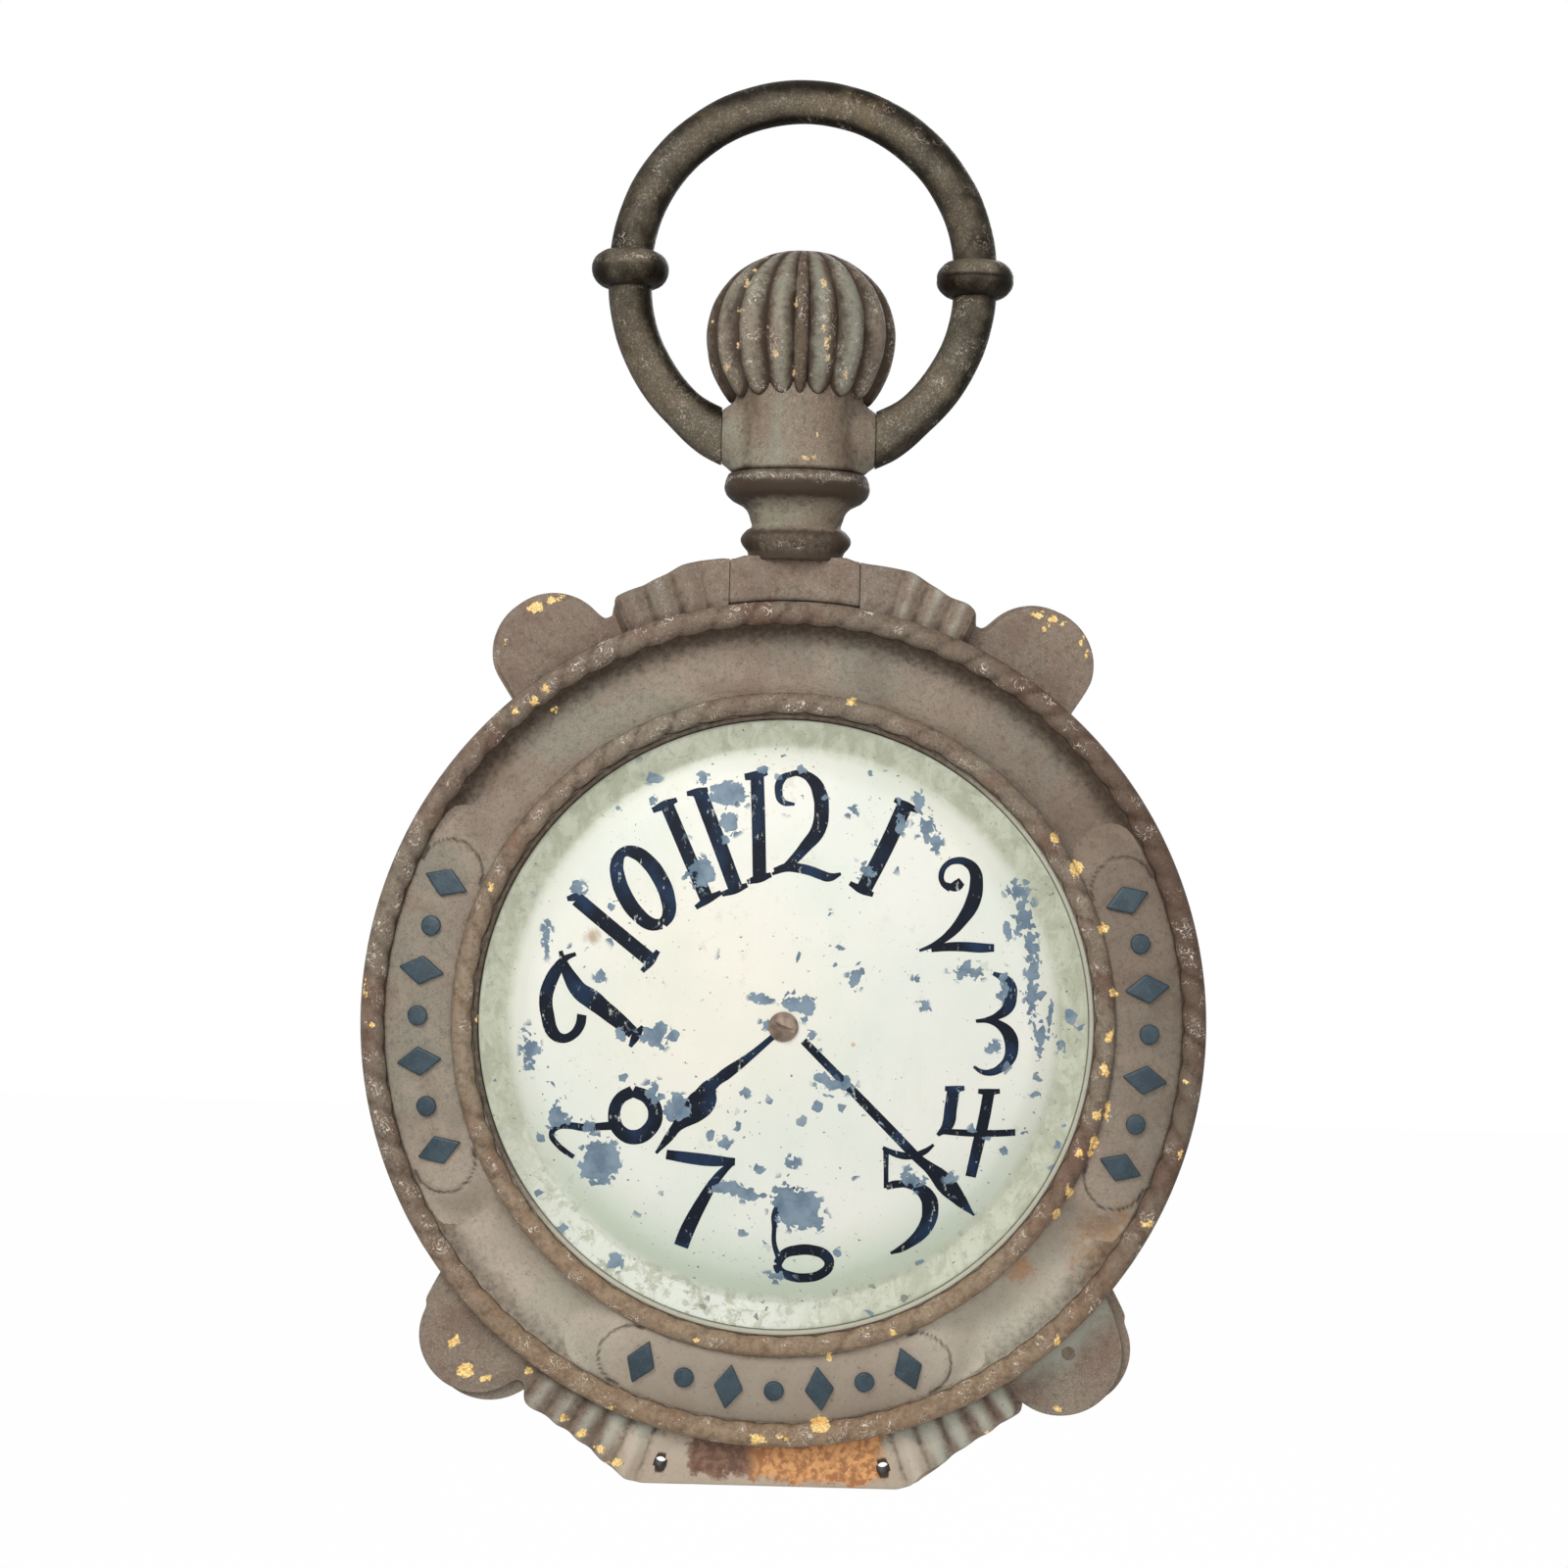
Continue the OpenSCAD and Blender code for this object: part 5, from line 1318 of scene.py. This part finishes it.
def panel(turn):
    bm = bmesh.new()
    bmesh.ops.create_grid(bm, x_segments=150, y_segments=22, size=1)
    half = thickened(bm)
    darkened, ruddy = layers(bm, "dirt_and_shade", "ruddy")
    length = math.radians(PAD_ANGLE) * PAD_MID
    for i, v in enumerate(bm.verts):
        off, along = v.co.y * PAD_HALF, v.co.x * (length + PAD_HALF + 26)
        r = PAD_MID + off
        past = abs(along) - length
        beyond = math.hypot(max(0, past), off) - PAD_HALF + 1.2
        fill = 1 - smooth_step(beyond if past > 0 else -1, -4, 25)
        low = floor_of_cove(r)
        z = low + (pad_face(r) - low) * fill - 0.4 * (1 - fill) if i >= half else low - 2
        line = 1 - smooth_step(abs(beyond), 0.3, 1.7) if past > 0 else 0
        v[darkened] = 0.7 * line + 0.4 * smooth_step(abs(off), 19, 21.8)
        angle = along / PAD_MID + turn
        v[ruddy] = reddened(angle)
        v.co = on_face(angle, r, z)
        if i >= half:
            v.co.z += 0.25 * lumps(v.co, 16, 8) - 0.7 * line
    bmesh.ops.remove_doubles(bm, verts=bm.verts, dist=0.01)
    return outward(bm)


# %% [markdown]
# Plain lozenges and discs stand on the panels. They could be painted on, but the marks of such a sign are
# cast in relief, so each is a small plate with eased edges, laid on the panel's face.

# %% Marks
MARKS, MARK_T, DISC_R = 7, 2.4, 6.4
ON_EDGE = Matrix.Rotation(math.radians(45), 4, "Z") @ Matrix.Scale(math.sqrt(0.5), 4)
LOZENGE = Matrix.Diagonal((9.5, 15, 1, 1)) @ ON_EDGE


def pad_marks(turn):
    """Lozenges and discs by turns along a panel."""
    bm = bmesh.new()
    layers(bm, "dirt_and_shade")
    for i in range(MARKS):
        angle = turn + math.radians((i - MARKS // 2) * 2 * PAD_ANGLE / (MARKS - 0.5))
        mark = bmesh.new()
        if i % 2 == 0:
            bmesh.ops.create_grid(mark, x_segments=10, y_segments=10, size=1, matrix=LOZENGE)
        else:
            bmesh.ops.create_circle(mark, segments=32, radius=DISC_R, cap_ends=True)
            bmesh.ops.inset_region(mark, faces=mark.faces[:], thickness=2.4)
        half = thickened(mark)
        for k, v in enumerate(mark.verts):
            v.co.z = MARK_T if k >= half else -2
        eased(outward(mark), 1.1)
        (darkened,) = layers(mark, "dirt_and_shade")
        for v in mark.verts:
            v[darkened] = smooth_step(v.co.z, 0.7, 0.0)
            v.co.y += PAD_MID
            v.co.z += pad_face(math.hypot(v.co.x, v.co.y))
        mark.transform(Matrix.Rotation(-angle, 4, "Z"))
        add_shape(bm, mark)
    return outward(bm)


# a left-hand piece turned to the rear lies where the right-hand node is
for place, far, turn in (("left", "right", -90), ("right", "left", 90), ("bottom", "bottom", 180)):
    nodes = (f"{place}_panel_front", f"{far}_panel_rear")
    front_and_rear(f"{place}_pad", panel(math.radians(turn)), case_paint, "case_paint", nodes)
    front_and_rear(f"{place}_marks", pad_marks(math.radians(turn)), mark_paint, None)

# %% [markdown]
# ## Dial
# The dial is a thin pressed sheet: a shallow dome, a groove and a rim that rises to its edge. A grid would
# have no clean edge. Its section is spun instead, in fine steps, because the flakes are stored in its
# vertices.


# %% Dial
DOME_R = 900
DIAL_EDGE = [(195.4, 23.6), (195.5, 23.0)]
DIAL_BACK = [(195.3, 22.0), (188.2, 19.8), (181, 15.8), (172, 17.6), (140, 25.6), (80, 33.2), (4.5, 37.0)]


def dial_height(r):
    """The dome falls off at its shoulder and runs through a soft dip into the rim."""
    ball = DOME_TOP - DOME_R + math.sqrt(DOME_R**2 - r * r) - 3.6 * smooth_step(r, 158, 182)
    rim = 24 - (DIAL_R - r) * 0.38
    return 0.5 * (ball + rim + math.sqrt((ball - rim) ** 2 + 1.2**2))


rings = [4.5, *range(6, 167, 2), *range(167, 186), 187, 189, 191, 193, 194.6]
dial = turned(bmesh.new(), [(r, dial_height(r)) for r in rings] + DIAL_EDGE + DIAL_BACK, 540)
darkened, rim = layers(dial, "dirt_and_shade", "rim")
for v in dial.verts:
    r = math.hypot(v.co.x, v.co.y)
    v[rim] = smooth_step(r, 171, 181)
    # Painted shade: the sheet's outer edge is darkened, most at the upper left, and thin shadow lines run round
    # the groove.
    edge = 0.1 + 0.9 * smooth_step((v.co.y - v.co.x) / r, -0.6, 0.6)
    v[darkened] = edge * smooth_step(r, 194.2, 195.5) + sum(humps(r, [(178.5, 2.2, 0.4), (170, 1.2, 0.2)]))
front_and_rear("dial_sheet", dial, dial_paint, "dial_paint", ("dial_front", "dial_rear"), layer="flake")

# %% [markdown]
# ## Numerals and hands
# They were painted with a brush, so each is a few strokes whose width changes along the way. Printed type
# would look too even, and an image of them is not wanted. A stroke is a row of points: x, y and width, in
# millimetres from the dial's centre.

# %% Strokes
STROKES = {
    "12": [
        [(-28.9, 158, 4.4), (-21.4, 159.4, 5.6), (-14.5, 161.5, 3.7)],
        [(-21, 160.1, 8.7), (-19.2, 128.7, 8.7), (-17.7, 95.1, 8.7)],
        [(-25.4, 91.1, 3.1), (-17.6, 93.8, 5.6), (-10.2, 96.2, 3.1)],
        [(3.6, 141.4, 1.9), (-4.1, 142.9, 4.4), (-6.9, 149.1, 5), (-5.1, 157.3, 5), (0, 160.3, 3.7),
         (6.3, 161.4, 4.4), (15.2, 156.6, 7.5), (19.8, 147.3, 9.4), (20.8, 141, 9.4), (19.1, 125.7, 9.4),
         (11, 114.5, 7.5), (2.7, 105, 5.6), (-4.1, 99.8, 3.1), (-9.6, 96.5, 1.9)],
        [(-8.4, 98.4, 4.4), (-0.3, 101.1, 5.6), (8.1, 100.7, 6.2), (15.4, 99.1, 6.2), (21, 97.1, 6.2),
         (27, 95.6, 5.6), (34.2, 98, 1.9)],
    ],
    "11": [
        [(-87.4, 135, 3.7), (-79.3, 139, 5.6), (-71.9, 142.4, 3.1)],
        [(-78.1, 138.4, 8.7), (-65.2, 110.6, 8.7), (-51, 79.8, 8.7)],
        [(-57.8, 74, 3.1), (-50.4, 79.2, 5), (-41.8, 84.1, 3.1)],
        [(-65.7, 146.3, 3.1), (-58.8, 147.7, 5), (-52.3, 149.5, 3.1)],
        [(-57.5, 147.8, 9.4), (-46, 119.9, 9.4), (-32.8, 87.2, 9.4)],
        [(-41.4, 82.9, 3.1), (-33.1, 85.9, 5), (-25.3, 89.3, 3.1)],
    ],
    "10": [
        [(-140.6, 77, 3.1), (-135.6, 78.4, 5), (-130.6, 80.7, 3.1)],
        [(-134.3, 77.2, 9.4), (-112.7, 60.4, 9.4), (-86.6, 40.4, 9.4)],
        [(-81, 45.9, 3.1), (-85.6, 38.9, 5), (-90.9, 32.5, 3.1)],
        [(-78.6, 62.9, 6.5), (-85.8, 62.7, 8.3), (-94.7, 68.6, 9.5), (-102.8, 79, 10), (-108, 91.1, 9.5),
         (-108.9, 101.7, 8.3), (-105.2, 107.9, 6.5), (-98, 108, 8.3), (-89.1, 102.1, 9.5), (-81, 91.6, 10),
         (-75.8, 79.5, 9.5), (-75, 69, 8.3), (-78.6, 62.9, 6.5)],
    ],
    "9": [
        [(-133.8, 42.2, 2.5), (-140.7, 38.8, 4.4), (-146.2, 31.1, 7.5), (-150.4, 22.1, 8.7),
         (-152.4, 13.3, 8.7), (-150.8, 1.4, 8.7), (-147.3, -8.5, 8.1), (-141.8, -12, 6.2),
         (-135.5, -10.5, 5.6), (-129.9, -3.4, 6.2), (-128.8, 3.6, 6.2)],
        [(-143.8, 43.7, 2.5), (-140.5, 33.8, 6.2), (-136.1, 25.8, 9.4), (-130.5, 18.5, 11.2),
         (-123, 13.8, 12.5), (-115, 7.9, 11.2), (-108.5, 3.1, 10.6), (-101.5, -2.2, 9.4), (-95.7, -6.8, 8.1)],
        [(-89.5, -2.4, 2.5), (-93.7, -8.8, 5.6), (-97.3, -15.8, 2.5)],
    ],
    "8": [
        [(-94.8, -44, 7.5), (-84.6, -48.6, 8.7), (-80, -58.5, 9.4), (-84.1, -68.8, 9.4), (-93.5, -73.7, 9.4),
         (-102.4, -70.2, 8.7), (-106.4, -61.5, 8.1), (-103.5, -50, 7.5), (-94.8, -44, 7.5)],
        [(-106.3, -66.6, 5.6), (-115.7, -67.7, 5), (-125.2, -68.8, 5), (-136.1, -68, 4.4),
         (-143.7, -69.7, 3.7), (-146.8, -74.3, 3.7), (-143.5, -79.9, 3.7), (-137.7, -84.7, 3.7),
         (-131.9, -88.2, 3.1)],
    ],
    "7": [
        [(-72.5, -84, 6.2), (-58.6, -85.6, 7.5), (-43.6, -86.9, 7.5), (-28.5, -87.3, 5)],
        [(-30.4, -88.4, 3.1), (-36.1, -93.7, 5), (-42, -101.5, 6.2), (-48, -112, 7.5), (-54, -123.8, 8.7),
         (-58.9, -135, 9.4), (-61.8, -143.5, 9.4)],
    ],
    "6": [
        [(0, -153.1, 5.6), (4.3, -146.5, 6.2), (12.4, -143.7, 6.9), (22.4, -143.5, 6.9), (31.3, -147.2, 6.9),
         (33.4, -153, 6.2), (28.5, -159, 6.2), (19.2, -161.8, 6.2), (8.4, -160.8, 6.2), (1.4, -157, 5.6),
         (0, -153.1, 5.6)],
        [(1, -149.2, 3.7), (-2.2, -139.5, 3.1), (-2.4, -129.2, 3.1), (-2.1, -120.2, 4.4), (1.5, -112.4, 3.7),
         (5.7, -106.5, 3.1), (10, -102.4, 1.2)],
    ],
    "5": [
        [(67.5, -76.6, 3.7), (67.9, -89.3, 3.1), (68.3, -102.1, 3.1)],
        [(65.4, -76, 2.5), (74.5, -80, 4.4), (84.4, -80.9, 4.4), (92.7, -77.8, 3.7), (98, -73.5, 1.9)],
        [(68.3, -101.5, 3.7), (71.4, -100.1, 5), (75.7, -99.3, 5), (82, -99.4, 5), (89.3, -101.9, 7.5),
         (95.6, -108.2, 10), (97.1, -115.3, 10.6), (96.1, -123.1, 10), (92, -130.8, 8.7), (85.2, -137.4, 6.2),
         (78.4, -142, 4.4), (72.5, -144.6, 1.9)],
    ],
    "4": [
        [(104.1, -37.3, 3.1), (110.4, -37.6, 4.4), (116.7, -36.9, 3.1)],
        [(109.8, -37, 8.1), (108.2, -49.6, 8.1), (106.4, -61, 7.5), (100.2, -67.4, 2.5)],
        [(102.4, -64.8, 3.7), (118.2, -65.7, 4.4), (134.1, -65.9, 4.4), (150.5, -65.2, 4.4)],
        [(125.5, -38.7, 3.1), (132, -39.3, 4.4), (139.6, -38.6, 3.1)],
        [(132.4, -39.9, 7.5), (130, -55.8, 7.5), (126.2, -74.8, 7.5), (122.4, -94, 6.9)],
    ],
    "3": [
        [(133.2, 36.7, 2.5), (139, 34.2, 5), (144.2, 29.3, 7.5), (145, 21.8, 8.1), (143.2, 14.9, 7.5),
         (137, 9.8, 5), (130.1, 7.2, 3.1), (122.8, 6.2, 1.9)],
        [(123.1, 5.9, 1.9), (132, 6.3, 3.7), (139.7, 2.9, 6.2), (145, -3.3, 8.7), (146.5, -10.9, 8.7),
         (144.8, -18.4, 7.5), (139.2, -24.1, 5.6), (132.9, -26.7, 4.4), (127.2, -26.1, 3.1),
         (122.2, -23, 1.9)],
    ],
    "2": [
        [(102.2, 91.1, 3.1), (107.9, 91.8, 6.9), (111.7, 95, 5.6)],
        [(104.8, 90.5, 5.6), (99.7, 93.5, 3.7), (98.5, 99.1, 3.7), (102, 105.5, 3.7), (108.3, 108.1, 4.4),
         (114.6, 107, 5.6), (119.8, 102.1, 7.5), (121.2, 93.4, 8.7), (118.9, 81.4, 9.4), (112.8, 70.7, 7.5),
         (104.7, 61.2, 5.6), (96, 54.8, 3.7), (85.4, 50.2, 1.9)],
        [(93, 51.6, 4.4), (104.3, 53.1, 5.6), (115, 53.3, 6.2), (124.5, 52.8, 6.2), (133.5, 52.9, 5)],
    ],
    "1": [
        [(67.4, 146, 3.1), (75.4, 142.4, 5), (83, 138.9, 3.1)],
        [(74.1, 142.4, 10), (63.2, 117.1, 10), (48.6, 87.6, 10)],
        [(39.9, 92.2, 3.1), (47.5, 88, 5), (55.1, 85.1, 3.1)],
    ],
    "hour": [
        [(-4.4, -4.7, 3.7), (-20.9, -19.5, 5), (-34.9, -30.5, 7.5), (-41.7, -35.8, 6.9), (-45.9, -39.7, 10),
         (-49.5, -48, 16.8), (-55.6, -55.1, 16.2), (-61.7, -61, 11.2), (-66.2, -65.9, 6.9),
         (-71.5, -73.4, 5.6), (-79.1, -83.5, 1.9)],
    ],
    "minute": [
        [(13.1, -8.6, 5), (38.7, -33.6, 5.6), (64.5, -59, 6.2), (80.7, -75.2, 6.2), (89.1, -83.4, 6.2),
         (95.6, -88.4, 7.5), (101.4, -93.5, 10.6), (107.3, -99.8, 12.5), (113.3, -106.2, 10),
         (119.2, -112.7, 6.2), (125.9, -119.8, 1.2)],
    ],
}
print(sum(len(strokes) for strokes in STROKES.values()), "strokes")

# %% [markdown]
# A stroke could be a strip of faces laid out by hand. A Bezier curve with a round bevel needs only the
# points above, takes its width at each from their radius, and is then pressed flat on the dome.


# %% Numerals and hands
def painted(strokes):
    """Makes strokes into flat ribbons that lie on the dial."""
    data = bpy.data.curves.new("strokes", "CURVE")
    data.dimensions = "3D"
    data.bevel_depth, data.bevel_resolution, data.use_fill_caps = 0.5, 1, True
    data.resolution_u = 5
    for stroke in strokes:
        spline = data.splines.new("BEZIER")
        spline.bezier_points.add(len(stroke) - 1)
        spline.radius_interpolation = "CARDINAL"
        for point, (x, y, width) in zip(spline.bezier_points, stroke):
            point.co, point.radius = (x, y, 0), width
            point.handle_left_type = point.handle_right_type = "AUTO"
    bm = result_of(placed("brush", data))
    for v in bm.verts:
        v.co.z = dial_height(math.hypot(v.co.x, v.co.y)) + 0.1 + v.co.z * 0.03
    return bm


HANDS = ("hour", "minute")
for group, names in (("numerals", [name for name in STROKES if name not in HANDS]), ("hands", HANDS)):
    lines = [stroke for name in names for stroke in STROKES[name]]
    front_and_rear(f"painted_{group}", painted(lines), numeral_paint, None, layer="flake")

# %% [markdown]
# ## CAD pieces that stay
# Rods, pins, bolts, screws and rivets are as plain in life as in the CAD. They could be remade, but only
# their finish would change, so they keep their own meshes and get a finish.

# %% Finishes for the CAD pieces
HELD_BY = (
    "pivot_rod", "pivot_pins", "crown_stud", "hanger_eye_bolt", "bearing_plate", "hanger_nut", "dial_post",
    "dial_bar")
SCREWS, RIVETS = ("dial_screw_front", "dial_screw_rear"), ("ear_rivets",)
for finish, names in ((iron, HELD_BY), (screw_iron, SCREWS), (flange_paint, RIVETS)):
    for name in names:
        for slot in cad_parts[name].material_slots:
            slot.material = finish
    print(finish.name, "on", names)
